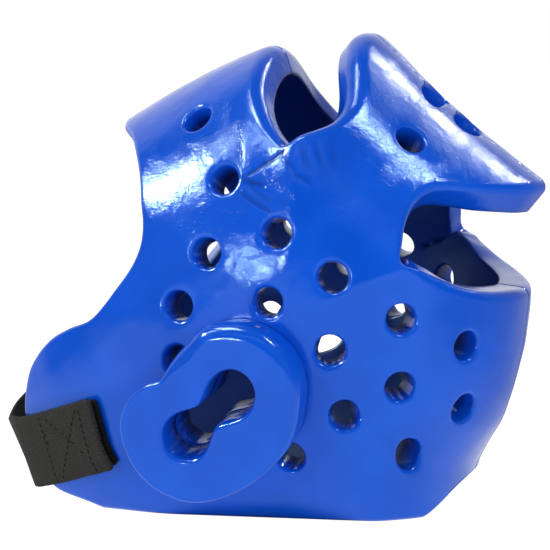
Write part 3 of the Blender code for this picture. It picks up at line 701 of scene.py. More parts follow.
def raise_skin(item, corners, height):
    """Move the corners along the mesh's normals by heights in millimetres."""
    normals = np.empty(len(corners) * 3)
    item.data.vertices.foreach_get("normal", normals)
    moved = corners + normals.reshape(-1, 3) * height[:, None]
    item.data.vertices.foreach_set("co", in_frame(moved).ravel())
    item.data.update()


# The dipped skin's relief

def fold_relief(pattern, right):
    """Height of the skin's grooves and folds at places on the pattern."""
    height = np.zeros(len(pattern))
    for start, end, wide, deep, both in FOLDS:
        away, along = distance_to_run(pattern, start, end)
        taper = 0.55 + 0.45 * np.sin(math.pi * np.clip(along * 0.8 + 0.1, 0, 1))
        drop = -deep * taper * np.exp(-(away / wide) ** 2)
        height += drop if both else np.where(right, 0.0, drop)
    return height


def slow_relief(places):
    """Slow unevenness of the foam at places in the frame."""
    height = np.zeros(len(places))
    for count, (across, back, up, wavelength, tall) in enumerate(WAVES):
        way = np.array([across, back, up])
        way /= np.linalg.norm(way)
        height += tall * np.sin(2 * math.pi * (places @ way) / wavelength + 1.7 * count)
    return height


def beside_slot(bases):
    """Which corners lie as near to the keyhole slot's middle as its wall does."""
    middle = np.mean([SLOT_UPPER, SLOT_LOWER], axis=0)
    return np.linalg.norm(bases[:, 1:] - middle, axis=1) < SLOT_WITHIN


def beside_hole(bases):
    """Which corners lie on the wall of a vent hole or of the keyhole slot."""
    beside = beside_slot(bases)
    left = np.column_stack([np.abs(bases[:, 0]), bases[:, 1:]])
    for middle in VENTS:
        centre = (skin_across(*middle), *middle)
        beside |= np.linalg.norm(left - centre, axis=1) < VENT_RADIUS + VENT_WITHIN
    return beside


# The foam shell

def middle_run(start, end, step):
    """Pattern places along the middle plane between two edges' ends, without the ends."""
    angles = [math.atan2(place[2] - AXIS_Z, place[1] - AXIS_Y) for place in (start, end)]
    if angles[1] < angles[0]:
        angles[1] += 2 * math.pi
    length = (angles[1] - angles[0]) * MEAN_RADIUS
    turn = np.linspace(angles[0], angles[1], max(2, int(round(length / step)) + 1))[1:-1]
    return MIDDLE * np.stack([np.cos(turn), np.sin(turn)], axis=1)


def shell_edges():
    """The open cut edges of the left half, anticlockwise round the pattern."""
    start = (float(skin_across(RIM_START, 0.0)), RIM_START, 0.0, RIM_SOFT)
    face, face_soft = edge_from_rows(FACE_EDGE + (start,))
    rim = rim_places()
    face_and_rim = np.vstack([face[:-1], rim])
    soft = np.concatenate([face_soft[:-1], np.full(len(rim), RIM_SOFT)])
    edges = [Edge(face_and_rim, soft, closed=False)]
    for rows in (REAR_NOTCH, CROWN_REAR_HOLE, CROWN_FRONT_HOLE, FRONT_NOTCH):
        edges.append(Edge(*edge_from_rows(rows), closed=False))
    return edges


def shell_holes():
    """The closed cut edges of the left half."""
    sides = int(round(2 * math.pi * VENT_RADIUS / EDGE_STEP)) + 3
    holes = [Edge(round_edge(middle, VENT_RADIUS, sides), VENT_LIP, closed=True, inside_left=False)
             for middle in VENTS]
    holes.append(Edge(slot_places(), SLOT_LIP, closed=True, inside_left=False))
    return holes


def shell_loops(edges, holes, insets, step):
    """The pattern's outer loop and holes at an inset, and where each edge's corners are in them."""
    outline, tops = [], []
    rows = [edge.row(inset, 0.0)[0] for edge, inset in zip(edges, insets)]
    for base, following in zip(rows, rows[1:] + rows[:1]):
        tops.append(np.arange(len(base)) + sum(len(part) for part in outline))
        outline.append(flatten_place(base))
        outline.append(middle_run(base[-1], following[0], step))
    loops = [np.vstack(outline)]
    start = len(loops[0])
    for hole, inset in zip(holes, insets[len(edges):]):
        base = hole.row(inset, 0.0)[0]
        loops.append(flatten_place(base))
        tops.append(np.arange(len(base)) + start)
        start += len(base)
    return loops, tops


def build_shell(material):
    """The dipped sheet, bent round the head, with every cut square through it."""
    body = Body()
    edges = shell_edges()
    holes = shell_holes()
    both = edges + holes
    loops, tops = shell_loops(edges, holes, [edge.soft for edge in both], END_STEP * 2)
    runs = [(start, end) for start, end, *_ in FOLDS + BUBBLES]
    pattern, triangles = cover(loops, GRID, runs)
    outer = skin(pattern)
    outer_ids = body.add(outer)
    body.faces.append(outer_ids[triangles])
    loops, lower_tops = shell_loops(edges, holes, [INNER_LIP] * len(both), INNER_GRID)
    pattern, triangles = cover(loops, INNER_GRID)
    base = skin(pattern)
    inner_ids = body.add(base + inward(base) * FOAM, base, FOAM)
    body.faces.append(inner_ids[triangles][:, ::-1])
    for edge, top, lower in zip(both, tops, lower_tops):
        last = outer_ids[top]
        rows = roll(edge.soft, ROLL_ARCS if edge.soft.max() > CRISP_MOST else LIP_ARCS)
        for part in WALL_PARTS:
            depth = edge.soft + (FOAM - INNER_LIP - edge.soft) * part
            rows.append((np.zeros_like(depth), depth))
        for turn in np.linspace(0.0, math.pi / 2, 4)[1:-1]:
            rows.append((np.full_like(edge.soft, INNER_LIP * (1 - math.cos(turn))),
                         np.full_like(edge.soft, FOAM - INNER_LIP * (1 - math.sin(turn)))))
        for inset, depth in rows:
            base, places = edge.row(inset, depth)
            last = body.row(last, edge.closed, places, base, depth)
        body.faces.append(strip(last, inner_ids[lower], edge.closed))
    corners, faces, bases, depths = body.arrays()
    corners[:, 2] = np.maximum(corners[:, 2], 0.0)
    left = len(corners)
    corners, faces, depths, back, up, across = mirror_half(
        corners, faces, depths, bases[:, 1], bases[:, 2], bases[:, 0])
    bases = np.column_stack([across, back, up])
    item = make_piece("dipped_foam_shell", corners, faces, material)
    right = np.arange(len(corners)) >= left
    weight = np.clip(1 - depths / RELIEF_DEPTH, 0.0, 1.0)
    flat = flatten_place(bases)
    height = fold_relief(flat, right) * weight
    # Painted shade along the bottoms of the grooves and folds
    add_values(item, "painted_crease_shade", np.clip(-height / CREASE_SHADE_FULL, 0.0, 1.0))
    away = np.min([distance_to_run(flat, *run)[0] for run in BUBBLES], axis=0)
    add_values(item, "specks", np.exp(-(away / BUBBLES_WIDE) ** 2) * weight)
    # Painted shade: the walls of the vents and the slot, and the inner face, darken deeper down
    add_values(item, "inside", np.where(beside_hole(bases), smooth_step((depths - PAINTED_SHADE_FROM) / PAINTED_SHADE_RUN),
                                        smooth_step((depths - FOAM + 2.0) / 2.0)))
    rim = smooth_step(corners[:, 2] / RIM_CALM)
    height += slow_relief(corners) * rim * np.clip(1 - depths / FOAM, 0.25, 1.0)
    seam = np.abs(corners[:, 0])
    groove = np.exp(-(seam / SEAM_WIDE) ** 2) - 0.35 * np.exp(-(seam / SEAM_LINE) ** 2)
    raise_skin(item, corners, height - SEAM_DEEP * groove * rim)
    return item


# The ear pads

def pad_softness(places):
    """Rounding of the pad's edge: soft above and behind, crisp below and in front."""
    middle = places.mean(axis=0)
    away = unit(places[:, 1:] - middle[1:])
    facing = smooth_step((away @ PAD_SOFT_TOWARDS - PAD_SOFT_FROM) / PAD_SOFT_EASE)
    return PAD_CRISP + (PAD_SOFT - PAD_CRISP) * facing


def build_pad(name, side, material):
    """One ear pad, a thick layer on the shell with the keyhole slot cut through."""
    body = Body()
    outline = spline(PAD_OUTLINE, closed=True)
    outline = np.column_stack([skin_across(outline[:, 0], outline[:, 1]), outline])
    outline = space_evenly(outline, step=EDGE_STEP, closed=True)
    slot = slot_places()
    rim = Edge(outline, pad_softness(outline), closed=True, inside_left=False)
    hole = Edge(slot, SLOT_LIP, closed=True, inside_left=False)
    loops = [flatten_place(edge.row(edge.soft, 0.0)[0]) for edge in (rim, hole)]
    pattern, triangles = cover(loops, GRID)
    base = skin(pattern)
    face_out = outward(base).mean(axis=0)
    face_out /= np.linalg.norm(face_out)
    level = (base @ face_out).mean()

    def raise_up(places, drop):
        out = outward(places)
        lift = PAD_GAP + PAD_THICK - drop
        flat = (level - places @ face_out) * PAD_FLATTEN
        return places + out * (lift + flat)[:, None]

    upper = body.add(raise_up(base, np.zeros(len(base))), base)
    body.faces.append(upper[triangles])
    under_loops = [flatten_place(edge.row(0.0, 0.0)[0]) for edge in (rim, hole)]
    under_pattern, under_triangles = cover(under_loops, INNER_GRID)
    under = skin(under_pattern)
    lower = body.add(under + outward(under) * PAD_GAP, under, PAD_THICK)
    body.faces.append(lower[under_triangles][:, ::-1])
    tops = (np.arange(len(loops[0])), len(loops[0]) + np.arange(len(loops[1])))
    for edge, top, arcs in ((rim, tops[0], PAD_ARCS), (hole, tops[1], LIP_ARCS)):
        last = upper[top]
        for inset, drop in roll(edge.soft, arcs):
            places, _ = edge.row(inset, 0.0)
            last = body.row(last, True, raise_up(places, drop), places, drop)
        places, _ = edge.row(0.0, 0.0)
        high = raise_up(places, edge.soft)
        low = places + outward(places) * PAD_GAP
        for part in WALL_PARTS[:-1]:
            last = body.row(last, True, high + (low - high) * part, places, PAD_THICK * part)
        body.faces.append(strip(last, lower[top], True))
    corners, faces, bases, depths = body.arrays()
    corners = corners * (side, 1, 1)
    item = make_piece(name, corners, faces, material)
    add_values(item, "painted_crease_shade", np.zeros(len(corners)))
    # Painted shade: the slot's wall darkens deeper down
    shaded = smooth_step((depths - PAINTED_SHADE_FROM) / PAD_THICK) * beside_slot(bases)
    add_values(item, "inside", shaded * PAD_SHADED)
    height = slow_relief(corners * PAD_WAVES + PAD_WAVES_ASIDE * side)
    raise_skin(item, corners, height * np.clip(1 - depths / PAD_THICK, 0.0, 1.0))
    return item


# The chin strap

STRAP_TABLE = np.vstack([STRAP_ON_JAW, STRAP_LOOP,
                         np.array(STRAP_ON_JAW[::-1]) * (-1, 1, 1, -1, 1, 1, 1)])
STRAP_CURVE = space_evenly(spline(STRAP_TABLE), count=STRAP_MARKS, measured=slice(0, 3))
STRAP_RUN = run_along(STRAP_CURVE[:, :3])
STRAP_LENGTH = STRAP_RUN[-1]        # of the upper selvedge


def strap_rows(first=0.0, last=1.0, step=STRAP_STEP):
    """Rows of the strap's table, evenly spaced between two shares of its length."""
    count = max(3, int(round((last - first) * STRAP_LENGTH / step)) + 1)
    marks = np.linspace(first, last, count) * STRAP_LENGTH
    return places_at(marks, STRAP_RUN, STRAP_CURVE), marks


def doubled_rise(ends):
    """How much higher the folded end stands at distances from the elastic's tip."""
    return DOUBLED_RISE * smooth_step((DOUBLED - ends) / DOUBLED_STEP + 1)


def rounded(ends, radius):
    """0 at a tip and 1 from a radius on, along a quarter circle."""
    return np.sqrt(np.clip(1 - (1 - np.clip(ends / radius, 0, 1)) ** 2, 0.0, 1.0))


def on_strap(rows, lane, height, wide=STRAP_WIDE):
    """Places on the strap: lane from -0.5 at the upper selvedge to 0.5 at the lower one."""
    top, bottom, on_skin = rows[:, :3], rows[:, 3:6], rows[:, 6:7]
    down = unit(bottom - top)
    middle = (top + bottom) / 2
    away = unit(np.cross(down, np.gradient(middle, axis=0)))
    away *= np.sign((away * (middle - JAW_MIDDLE)).sum(axis=1, keepdims=True))
    free = middle + down * np.reshape(lane, (-1, 1)) * wide
    mirrored = np.abs(free) * (1, 0, 0) + free * (0, 1, 1)
    seated = skin(flatten_place(mirrored))
    seated = seated + outward(seated) * np.reshape(height, (-1, 1))
    seated[:, 0] *= np.sign(middle[:, 0])
    lift = free + away * np.reshape(height, (-1, 1))
    return lift + (seated - lift) * smooth_step(on_skin)


def tip_distances(marks):
    """Distances of marks along a band from its nearer tip."""
    return np.minimum(marks - marks[0], marks[-1] - marks)


def build_band(name, rows, marks, low, high, wide, material, raised=0.0):
    """A woven band with rounded selvedges between two heights, and a UV map in metres.

    raised is how much higher its face stands at each row.
    """
    thick = (high - low) / 2
    lanes = np.linspace(-1.0, 1.0, STRAP_LANES + 1)
    lanes = np.sign(lanes) * (1 - (1 - np.abs(lanes)) ** 1.25)
    inset = thick * 2 * SELVEDGE_ROUND / wide
    turn = np.linspace(0.0, math.pi, 7)[1:-1]
    section = [(lane * (0.5 - inset), 1.0) for lane in lanes]
    section += [(0.5 - inset + inset * math.sin(t), math.cos(t)) for t in turn]
    section += [(lane * (0.5 - inset), -1.0) for lane in lanes[::-1]]
    section += [(-0.5 + inset - inset * math.sin(t), -math.cos(t)) for t in turn]
    section = np.array(section)
    ends = tip_distances(marks)
    half_thick = thick * (0.35 + 0.65 * rounded(ends, thick))
    narrowed = 1 - (1 - rounded(ends, CORNER_ROUND)) * 2 * CORNER_ROUND / wide
    middle = (low + high) / 2
    rings = [on_strap(rows, lane * narrowed, middle + side * half_thick + max(side, 0.0) * raised, wide)
             for lane, side in section]
    grid = np.stack(rings, axis=1)
    count = len(section)
    corners = grid.reshape(-1, 3)
    ids = np.arange(len(corners)).reshape(len(rows), count)
    faces = [strip(one, two, True) for one, two in zip(ids, ids[1:])]
    half = len(lanes)
    for ring in (ids[0], ids[-1]):
        top_row = ring[:half]
        low_row = ring[half + len(turn):2 * half + len(turn)][::-1]
        faces.append(strip(top_row, low_row, False))
        for side_ids, one, two in ((ring[half:half + len(turn)], top_row[-1], low_row[-1]),
                                   (ring[2 * half + len(turn):][::-1], top_row[0], low_row[0])):
            chain = [one, *side_ids, two]
            fan = [(chain[0], chain[k], chain[k + 1]) for k in range(1, len(chain) - 1)]
            faces.append(np.array(fan))
    item = make_piece(name, corners, np.vstack(faces), material)
    layer = item.data.uv_layers.new(name="weave")
    across = section[:, 0] * wide
    along = np.repeat(marks, count)
    over = np.tile(across, len(rows))
    loop_corners = np.empty(len(item.data.loops), int)
    item.data.loops.foreach_get("vertex_index", loop_corners)
    uv = np.stack([along[loop_corners], over[loop_corners]], axis=1) * MM
    layer.data.foreach_set("uv", uv.ravel())
    return item


# Materials

class Wire:
    """A shader value that can be used in sums."""

    def __init__(self, finish, socket):
        self.finish = finish
        self.socket = socket

    def sum(self, operation, one, two):
        return self.finish.add("ShaderNodeMath", {"operation": operation}, {0: one, 1: two})

    def __add__(self, other):
        return self.sum("ADD", self, other)

    __radd__ = __add__

    def __sub__(self, other):
        return self.sum("SUBTRACT", self, other)

    def __rsub__(self, other):
        return self.sum("SUBTRACT", other, self)

    def __mul__(self, other):
        return self.sum("MULTIPLY", self, other)

    __rmul__ = __mul__

    def __truediv__(self, other):
        return self.sum("DIVIDE", self, other)

    def __rtruediv__(self, other):
        return self.sum("DIVIDE", other, self)


class Finish:
    """A material, or another tree of nodes, whose nodes are added one by one."""

    def __init__(self, name, tree=None):
        if tree is None:
            self.material = bpy.data.materials.new(name)
            self.material.use_nodes = True
            tree = self.material.node_tree
        self.tree = tree
        self.tree.nodes.clear()

    def add(self, kind, settings=None, inputs=None, output=0):
        """A node of a type, with its settings set first and then its sockets."""
        node = self.tree.nodes.new(kind)
        for key, value in (settings or {}).items():
            setattr(node, key, value)
        for key, value in (inputs or {}).items():
            socket = node.inputs[key]
            if isinstance(value, Wire):
                self.tree.links.new(value.socket, socket)
            else:
                socket.default_value = value
        return Wire(self, node.outputs[output]) if node.outputs else node

    def colour_mix(self, factor, one, two):
        """One colour mixed into another."""
        one, two = [(*value, 1.0) if isinstance(value, tuple) else value for value in (one, two)]
        return self.add("ShaderNodeMix", {"data_type": "RGBA"}, {0: factor, 6: one, 7: two}, output=2)

    def vector(self, operation, one, two, output=0):
        """A sum with two vectors, or with one where two is left out."""
        inputs = {0: one} if two is None else {0: one, 1: two}
        return self.add("ShaderNodeVectorMath", {"operation": operation}, inputs, output)

    def sine(self, turns):
        """A wave from -1 to 1 that repeats with every whole turn."""
        return self.add("ShaderNodeMath", {"operation": "SINE"}, {0: turns * (2 * math.pi)})

    def attribute(self, name):
        """A number kept at the mesh's corners."""
        return self.add("ShaderNodeAttribute", {"attribute_name": name}, output="Fac")

    def ray(self, kind):
        """1 for one kind of light ray, 0 for the others."""
        return self.add("ShaderNodeLightPath", output=kind)

    def place(self, source="Object"):
        """The object's own coordinates, or those of its UV map, in millimetres."""
        coordinates = self.add("ShaderNodeTexCoord", output=source)
        return self.add("ShaderNodeVectorMath", {"operation": "SCALE"}, {0: coordinates, "Scale": 1 / MM})

    def noise(self, place, size, detail=2.0, rough=0.5, warp=0.0):
        """Cloudy noise whose patches are about size millimetres."""
        return self.add("ShaderNodeTexNoise", None,
                        {"Vector": place, "Scale": 1.0 / size, "Detail": detail,
                         "Roughness": rough, "Distortion": warp})

    def between(self, value, low, high):
        """0 below low, 1 above high."""
        return self.add("ShaderNodeMapRange", {"interpolation_type": "SMOOTHSTEP"},
                        {"Value": value, "From Min": low, "From Max": high, "To Min": 0.0, "To Max": 1.0})

    def bump(self, height, distance=1.0):
        """A normal raised by a height in millimetres, times the distance."""
        return self.add("ShaderNodeBump", None,
                        {"Height": height, "Distance": distance * MM, "Strength": 1.0})

    def finish(self, **sockets):
        """Close the material with one Principled shader."""
        shader = self.add("ShaderNodeBsdfPrincipled", None,
                          {key.replace("_", " "): value for key, value in sockets.items()})
        self.add("ShaderNodeOutputMaterial", None, {"Surface": shader})
        return self.material


def vinyl():
    """Glossy blue dipped vinyl: smooth low down, finely wrinkled over the lobes, with painted shade in its
    grooves, deep hole walls and inner face.
    """
    made = Finish("glossy_blue_vinyl")
    place = made.place()
    up = made.add("ShaderNodeSeparateXYZ", None, {0: place}, output="Z")
    drift = made.noise(place, 26.0, 2.0)
    lobes = made.between(up + drift * 60.0, 120.0, 185.0)
    stretched = made.vector("MULTIPLY", place, (1.0, 0.55, 1.5))
    wrinkles = made.noise(stretched, 2.3, 3.0, 0.6, 0.7)
    specks = made.attribute("specks")
    bubbles = made.between(made.noise(place, 1.1, 1.0), 0.52, 0.66)
    grain = made.noise(place, 1.1, 2.0, 0.7)
    peel = made.noise(place, 8.5, 1.0)
    patchy = made.between(made.noise(place, 13.0, 2.0), 0.38, 0.66)
    cloud = made.noise(place, 38.0, 3.0)
    colour = made.colour_mix(made.between(cloud, 0.35, 0.65), (0.0026, 0.084, 0.655), (0.0034, 0.098, 0.735))
    inside = made.attribute("inside")
    painted_crease_shade = made.attribute("painted_crease_shade")
    # Painted shade: deep hole walls and the inner face are mixed towards dark navy
    colour = made.colour_mix(inside * 0.92, colour, (0.0008, 0.013, 0.15))
    # Painted shade: the colour darkens along the bottoms of the grooves
    colour = made.colour_mix(painted_crease_shade * 0.85, colour, (0.0006, 0.014, 0.16))
    scuff = made.between(made.noise(stretched, 11.0, 4.0, 0.7), 0.55, 0.8)
    rough = 0.13 + scuff * 0.09 + inside * 0.22
    height = peel * (0.06 + lobes * 0.10) + specks * bubbles * 0.3
    height = height + wrinkles * (0.010 + lobes * (0.03 + patchy * 0.11))
    height = height + grain * (0.009 + lobes * (0.050 + patchy * 0.080))
    return made.finish(Base_Color=colour, Roughness=rough, IOR=1.5, Specular_Tint=(0.5, 0.8, 1.0, 1.0),
                       Normal=made.bump(height))


DIAGONAL_PITCH = 1.25       # of the elastic's weave, in millimetres
RIB_PITCH = 0.85


def elastic():
    """Charcoal woven elastic: fine diagonal ribs, flecks of paler yarn and soft fuzz."""
    made = Finish("charcoal_elastic")
    place = made.place("UV")
    along = made.add("ShaderNodeSeparateXYZ", None, {0: place}, output="X")
    over = made.add("ShaderNodeSeparateXYZ", None, {0: place}, output="Y")
    drift = made.noise(place, 3.0, 2.0)
    diagonal = made.sine((along * 0.55 + over + drift * 0.32) / DIAGONAL_PITCH)
    ribs = made.sine((along - over * 0.35 + drift * 0.24) / RIB_PITCH)
    weave = diagonal * 0.32 + ribs * 0.18 + 0.5
    fuzz = made.noise(place, 0.42, 3.0, 0.7)
    flecks = made.between(made.noise(place, 0.8, 2.0, 0.7), 0.58, 0.74)
    shade = made.colour_mix(weave * 0.7 + fuzz * 0.5 - 0.1, (0.003, 0.003, 0.003), (0.060, 0.060, 0.056))
    shade = made.colour_mix(flecks * 0.7, shade, (0.120, 0.120, 0.112))
    normal = made.bump(weave * 0.34 + fuzz * 0.20)
    return made.finish(Base_Color=shade, Roughness=0.85, Specular_IOR_Level=0.12, Normal=normal)


def thread():
    """Black sewing thread."""
    made = Finish("black_thread")
    place = made.place()
    twist = made.noise(place, 0.3, 1.0)
    shade = made.colour_mix(twist, (0.003, 0.003, 0.003), (0.014, 0.014, 0.013))
    return made.finish(Base_Color=shade, Roughness=0.7, Specular_IOR_Level=0.1, Normal=made.bump(twist, 0.1))


def hook_tape():
    """Matt black hook tape with rows of tiny loops."""
    made = Finish("black_hook_tape")
    place = made.place("UV")
    loops = made.add("ShaderNodeTexVoronoi", {"feature": "F1"}, {"Vector": place, "Scale": 1.1})
    shade = made.colour_mix(loops, (0.012, 0.012, 0.012), (0.004, 0.004, 0.004))
    return made.finish(Base_Color=shade, Roughness=0.9, Specular_IOR_Level=0.1, Normal=made.bump(loops, 0.3))


# Stage, lights and camera

CAMERA_TOWARDS = (0.957, 0.265, 0.118)     # from the target to the camera
CAMERA_RIGHT = (-0.267, 0.964, 0.0)
CAMERA_FAR = 1.1
CAMERA_ROLL = 1.6
CAMERA_TARGET = (0.0, 0.0012, 0.113)
CAMERA_LENS = 137.5
SOFTBOX_FAR = 1.6
SOFTBOX_TARGET = (0.0, 0.0, 0.12)


def set_camera():
    """The camera at the photo's angle."""
    towards = Vector(CAMERA_TOWARDS).normalized()
    level = Vector(CAMERA_RIGHT).normalized()
    upright = towards.cross(level).normalized()
    level = upright.cross(towards).normalized()
    roll = math.radians(CAMERA_ROLL)
    right = level * math.cos(roll) - upright * math.sin(roll)
    up = level * math.sin(roll) + upright * math.cos(roll)
    camera = add_item("camera", bpy.data.cameras.new("camera"))
    camera.data.lens = CAMERA_LENS
    camera.data.clip_start = 0.01
    turn = Matrix((right, up, towards)).transposed()
    camera.matrix_world = Matrix.Translation(Vector(CAMERA_TARGET) + towards * CAMERA_FAR) @ turn.to_4x4()
    bpy.context.scene.camera = camera


def direction(azimuth, elevation):
    """A direction by its angle from +x towards +y and its angle over the floor."""
    azimuth, elevation = math.radians(azimuth), math.radians(elevation)
    return Vector((math.cos(azimuth) * math.cos(elevation), math.sin(azimuth) * math.cos(elevation),
                   math.sin(elevation)))


def add_softbox(name, azimuth, elevation, wide, tall, brightness, gloss, body):
    """An evenly lit rectangle that faces the object, for its gloss, its body colour or both."""
    light = bpy.data.lights.new(name, "AREA")
    light.shape = "RECTANGLE"
    light.size = wide
    light.size_y = tall
    light.energy = brightness * wide * tall * math.pi
    item = add_item(name, light)
    away = direction(azimuth, elevation)
    turn = away.to_track_quat("Z", "Y").to_matrix().to_4x4()
    item.matrix_world = Matrix.Translation(Vector(SOFTBOX_TARGET) + away * SOFTBOX_FAR) @ turn
    item.visible_camera = False
    item.visible_glossy = gloss
    item.visible_diffuse = body


#             name        azimuth elev wide  tall  brightness gloss body
SOFTBOXES = (("brow_box", -60, 35, 0.42, 0.29, 98.0, True, False),
             ("cheek_box", 0, 35, 1.2, 0.32, 1.0, True, False),
             ("crown_box", 76, 53, 0.15, 0.34, 72.0, True, False),
             ("crown_wide", 128, 41, 0.85, 0.5, 2.4, True, False),
             ("rear_strip", 147, 36, 0.10, 0.26, 38.0, True, False),
             ("low_box", -20, 4, 0.13, 0.10, 105.0, True, False),
             ("overhead", -60, 70, 0.5, 0.4, 24.0, True, False),
             ("brow_feather", -50, 50, 0.30, 0.30, 14.0, True, False),
             ("sky_fill", 0, 80, 1.0, 1.0, 2.6, False, True),
             ("front_fill", -48, 16, 1.2, 1.2, 2.4, False, True),
             ("side_fill", 50, 18, 1.4, 1.4, 2.15, False, True))

BACKDROP_WAY = (-0.75, -0.62, 0.23)     # where the backdrop is brightest in the gloss

# The floor, in millimetres apart from its own size
FLOOR_HALF = 9.0            # metres
FLOOR_LOW = 0.4             # below the rim
FLOOR_DIM_WAY = (-0.7, 0.7, 0.0)        # the floor's glow is painted dimmer to glossy rays this way
SHADE_ACROSS = 78.0         # the ellipse of painted shade under the object
SHADE_LONG = 106.0
SHADE_BACK = 8.0


def set_world():
    """White to the camera; a white backdrop behind the object and a dim room before it."""
    world = bpy.data.worlds.new("studio")
    world.use_nodes = True
    bpy.context.scene.world = world
    made = Finish("studio", world.node_tree)
    way = made.add("ShaderNodeTexCoord", output="Generated")
    behind = made.vector("DOT_PRODUCT", way, tuple(-Vector(CAMERA_TOWARDS)), output=1)
    left = made.vector("DOT_PRODUCT", way, BACKDROP_WAY, output=1)
    white = made.between(behind, 0.0, 0.45)
    bright = white * (0.25 + made.between(left, 0.5, 0.85) * 0.75)
    soaked, seen = made.ray("Is Diffuse Ray"), made.ray("Is Camera Ray")
    shade = 0.05 + white * soaked * 0.40 + bright * (1 - soaked)
    strength = shade * (1 - seen) + seen
    back = made.add("ShaderNodeBackground", None, {"Color": (1.0, 1.0, 1.0, 1.0), "Strength": strength})
    made.add("ShaderNodeOutputWorld", None, {"Surface": back})


def add_floor():
    """A plain white floor that reaches far past the picture: it glows, with painted shade in an ellipse under
    the object.
    """
    mesh = bpy.data.meshes.new("floor")
    corners = [(x * FLOOR_HALF, y * FLOOR_HALF, 0.0) for x, y in ((-1, -1), (1, -1), (1, 1), (-1, 1))]
    mesh.from_pydata(corners, [], [(0, 1, 2, 3)])
    made = Finish("white_floor")
    place = made.place()
    centred = made.vector("SUBTRACT", place, (0.0, SHADE_BACK, 0.0))
    in_ellipse = made.vector("MULTIPLY", centred, (1 / SHADE_ACROSS, 1 / SHADE_LONG, 0.0))
    away = made.vector("LENGTH", in_ellipse, None, output=1)
    lit = made.between(away, 0.97, 1.08)
    open_floor = made.between(away, 0.64, 0.78)
    soaked, seen = made.ray("Is Diffuse Ray"), made.ray("Is Camera Ray")
    far = made.vector("DOT_PRODUCT", place, FLOOR_DIM_WAY, output=1)
    dim = made.between(far, 60.0, 260.0) * (1 - soaked) * 0.72
    # Painted light and shade: the floor glows white, but not in the ellipse under the object
    glow = lit * (0.95 - soaked * 0.35 - dim) * (1 - seen) + seen * open_floor
    # Painted shadow: the floor's colour is darker in the ellipse under the object
    shade = made.colour_mix(open_floor, (0.02, 0.02, 0.02), (0.2, 0.2, 0.2))
    mesh.materials.append(made.finish(Base_Color=shade, Roughness=0.9,
                                      Emission_Color=made.colour_mix(glow, (0.0, 0.0, 0.0), (1.0, 1.0, 1.0)),
                                      Emission_Strength=1.0))
    floor = add_item("floor", mesh)
    floor.location.z = -FLOOR_LOW * MM


# The stitches, and the strap as a whole

def stitch_tree(material):
    """Geometry nodes that lay short threads along runs of edges."""
    tree = bpy.data.node_groups.new("stitch_runs", "GeometryNodeTree")
    tree.interface.new_socket("Runs", in_out="INPUT", socket_type="NodeSocketGeometry")
    sockets = {}
    for name in ("Pitch", "Long", "Radius"):
        sockets[name] = tree.interface.new_socket(name, in_out="INPUT", socket_type="NodeSocketFloat")
    tree.interface.new_socket("Stitches", in_out="OUTPUT", socket_type="NodeSocketGeometry")
    made = Finish("stitch_runs", tree)
    given = tree.nodes.new("NodeGroupInput").outputs
    runs, pitch, long, radius = [Wire(made, given[name]) for name in ("Runs", "Pitch", "Long", "Radius")]
    curve = made.add("GeometryNodeMeshToCurve", None, {"Mesh": runs})
    spaced = made.add("GeometryNodeResampleCurve", {"mode": "LENGTH"}, {"Curve": curve, "Length": pitch})
    tangent = made.add("GeometryNodeInputTangent")
    turned = made.add("FunctionNodeAlignEulerToVector", {"axis": "Z"}, {"Vector": tangent})
    bead = made.add("GeometryNodeMeshUVSphere", None, {"Segments": 8, "Rings": 6, "Radius": 1.0})
    size = made.add("ShaderNodeCombineXYZ", None, {"X": radius, "Y": radius, "Z": long})
    shaped = made.add("GeometryNodeTransform", None, {"Geometry": bead, "Scale": size})
    placed = made.add("GeometryNodeInstanceOnPoints", None,
                      {"Points": spaced, "Instance": shaped, "Rotation": turned})
    real = made.add("GeometryNodeRealizeInstances", None, {"Geometry": placed})
    dressed = made.add("GeometryNodeSetMaterial", None, {"Geometry": real, "Material": material})
    made.add("NodeGroupOutput", None, {"Stitches": dressed})
    return tree, {name: socket.identifier for name, socket in sockets.items()}


def build_stitches(name, at_start, height, tree, identifiers):
    """The rows of stitches on one strap end, sunk into the elastic."""
    rows, marks = strap_rows(step=STITCH_STEP)
    corners, edges = [], []
    for one, two in STITCHES:
        count = int(math.hypot(two[0] - one[0], (two[1] - one[1]) * STRAP_WIDE) / STITCH_STEP) + 2
        edges += [(len(corners) + k, len(corners) + k + 1) for k in range(count - 1)]
        for part in np.linspace(0.0, 1.0, count):
            from_end = one[0] + (two[0] - one[0]) * part
            along = from_end if at_start else STRAP_LENGTH - from_end
            around = places_at(along + np.array([-STITCH_STEP, 0.0, STITCH_STEP]), marks, rows)
            lane = one[1] + (two[1] - one[1]) * part - 0.5
            corners.append(on_strap(around, lane, height + doubled_rise(from_end - STRAP_SHORT))[1])
    mesh = bpy.data.meshes.new(name + "_runs")
    mesh.from_pydata(in_frame(np.array(corners)).tolist(), edges, [])
    runs = add_item(name + "_runs", mesh)
    modifier = runs.modifiers.new("stitches", "NODES")
    modifier.node_group = tree
    modifier[identifiers["Pitch"]] = STITCH_PITCH * MM
    modifier[identifiers["Long"]] = STITCH_LONG / 2 * MM
    modifier[identifiers["Radius"]] = THREAD_RADIUS * MM
    seen = runs.evaluated_get(bpy.context.evaluated_depsgraph_get())
    made = bpy.data.meshes.new_from_object(seen)
    made.shade_smooth()
    bpy.data.objects.remove(runs)
    return add_item(name, made)


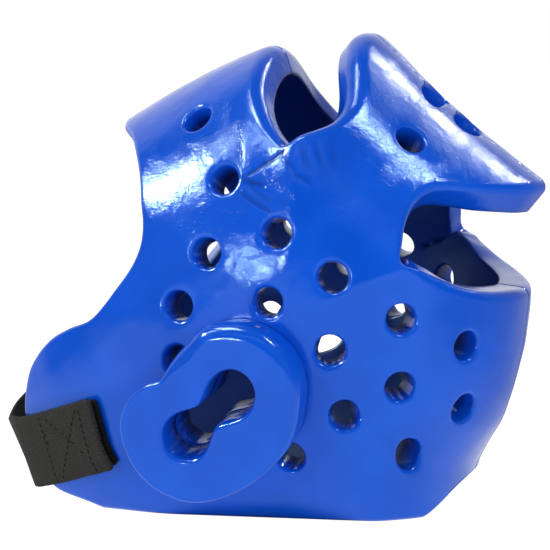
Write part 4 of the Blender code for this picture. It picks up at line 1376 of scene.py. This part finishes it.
def build_strap(webbing, hook):
    """The elastic loop, its doubled ends and the hook tape under them."""
    low = STRAP_GAP + HOOK_THICK + STRAP_GAP
    face = low + STRAP_THICK
    short = STRAP_SHORT / STRAP_LENGTH
    rows, marks = strap_rows(short, 1 - short)
    ends = tip_distances(marks)
    raised = doubled_rise(ends) - HEM_DEEP * np.exp(-((ends - HEM_LINE) / HEM_WIDE) ** 2)
    strap = build_band("chin_strap_webbing", rows, marks, low, face, STRAP_WIDE, webbing, raised)
    tapes = []
    for side, first in (("left", 0.0), ("right", 1 - HOOK_LONG / STRAP_LENGTH)):
        rows, marks = strap_rows(first, first + HOOK_LONG / STRAP_LENGTH)
        tapes.append(build_band("hook_tape_" + side, rows, marks, STRAP_GAP, STRAP_GAP + HOOK_THICK,
                                STRAP_WIDE - 2 * HOOK_MARGIN, hook))
    runs = stitch_tree(thread())
    stitches = [build_stitches("strap_stitches_" + side, side == "left", face - THREAD_SUNK, *runs)
                for side in ("left", "right")]
    return strap, tapes, stitches, STRAP_LENGTH - 2 * STRAP_SHORT


# The head guard

def main():
    """Build the pieces, hide the frame's parts they stand for, and set the stage."""
    skin_finish = vinyl()
    webbing = elastic()
    hook = hook_tape()
    shell = build_shell(skin_finish)
    pads = [build_pad("ear_pad_dipped_" + side, sign, skin_finish)
            for side, sign in (("left", 1), ("right", -1))]
    strap, tapes, stitches, length = build_strap(webbing, hook)
    for piece, node, slot in ((shell, "foam_shell", "dipped_blue_vinyl"),
                              (pads[0], "ear_pad_left", "dipped_blue_vinyl"),
                              (pads[1], "ear_pad_right", "dipped_blue_vinyl"),
                              (strap, "chin_strap", "woven_elastic"),
                              (tapes[0], "strap_hook_left", "hook_tape"),
                              (tapes[1], "strap_hook_right", "hook_tape")):
        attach(piece, "root")
        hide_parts(node)
    for piece in stitches:
        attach(piece, "root")
    set_camera()
    set_world()
    add_floor()
    for softbox in SOFTBOXES:
        add_softbox(*softbox)
    bpy.context.scene.view_settings.view_transform = "Standard"


main()
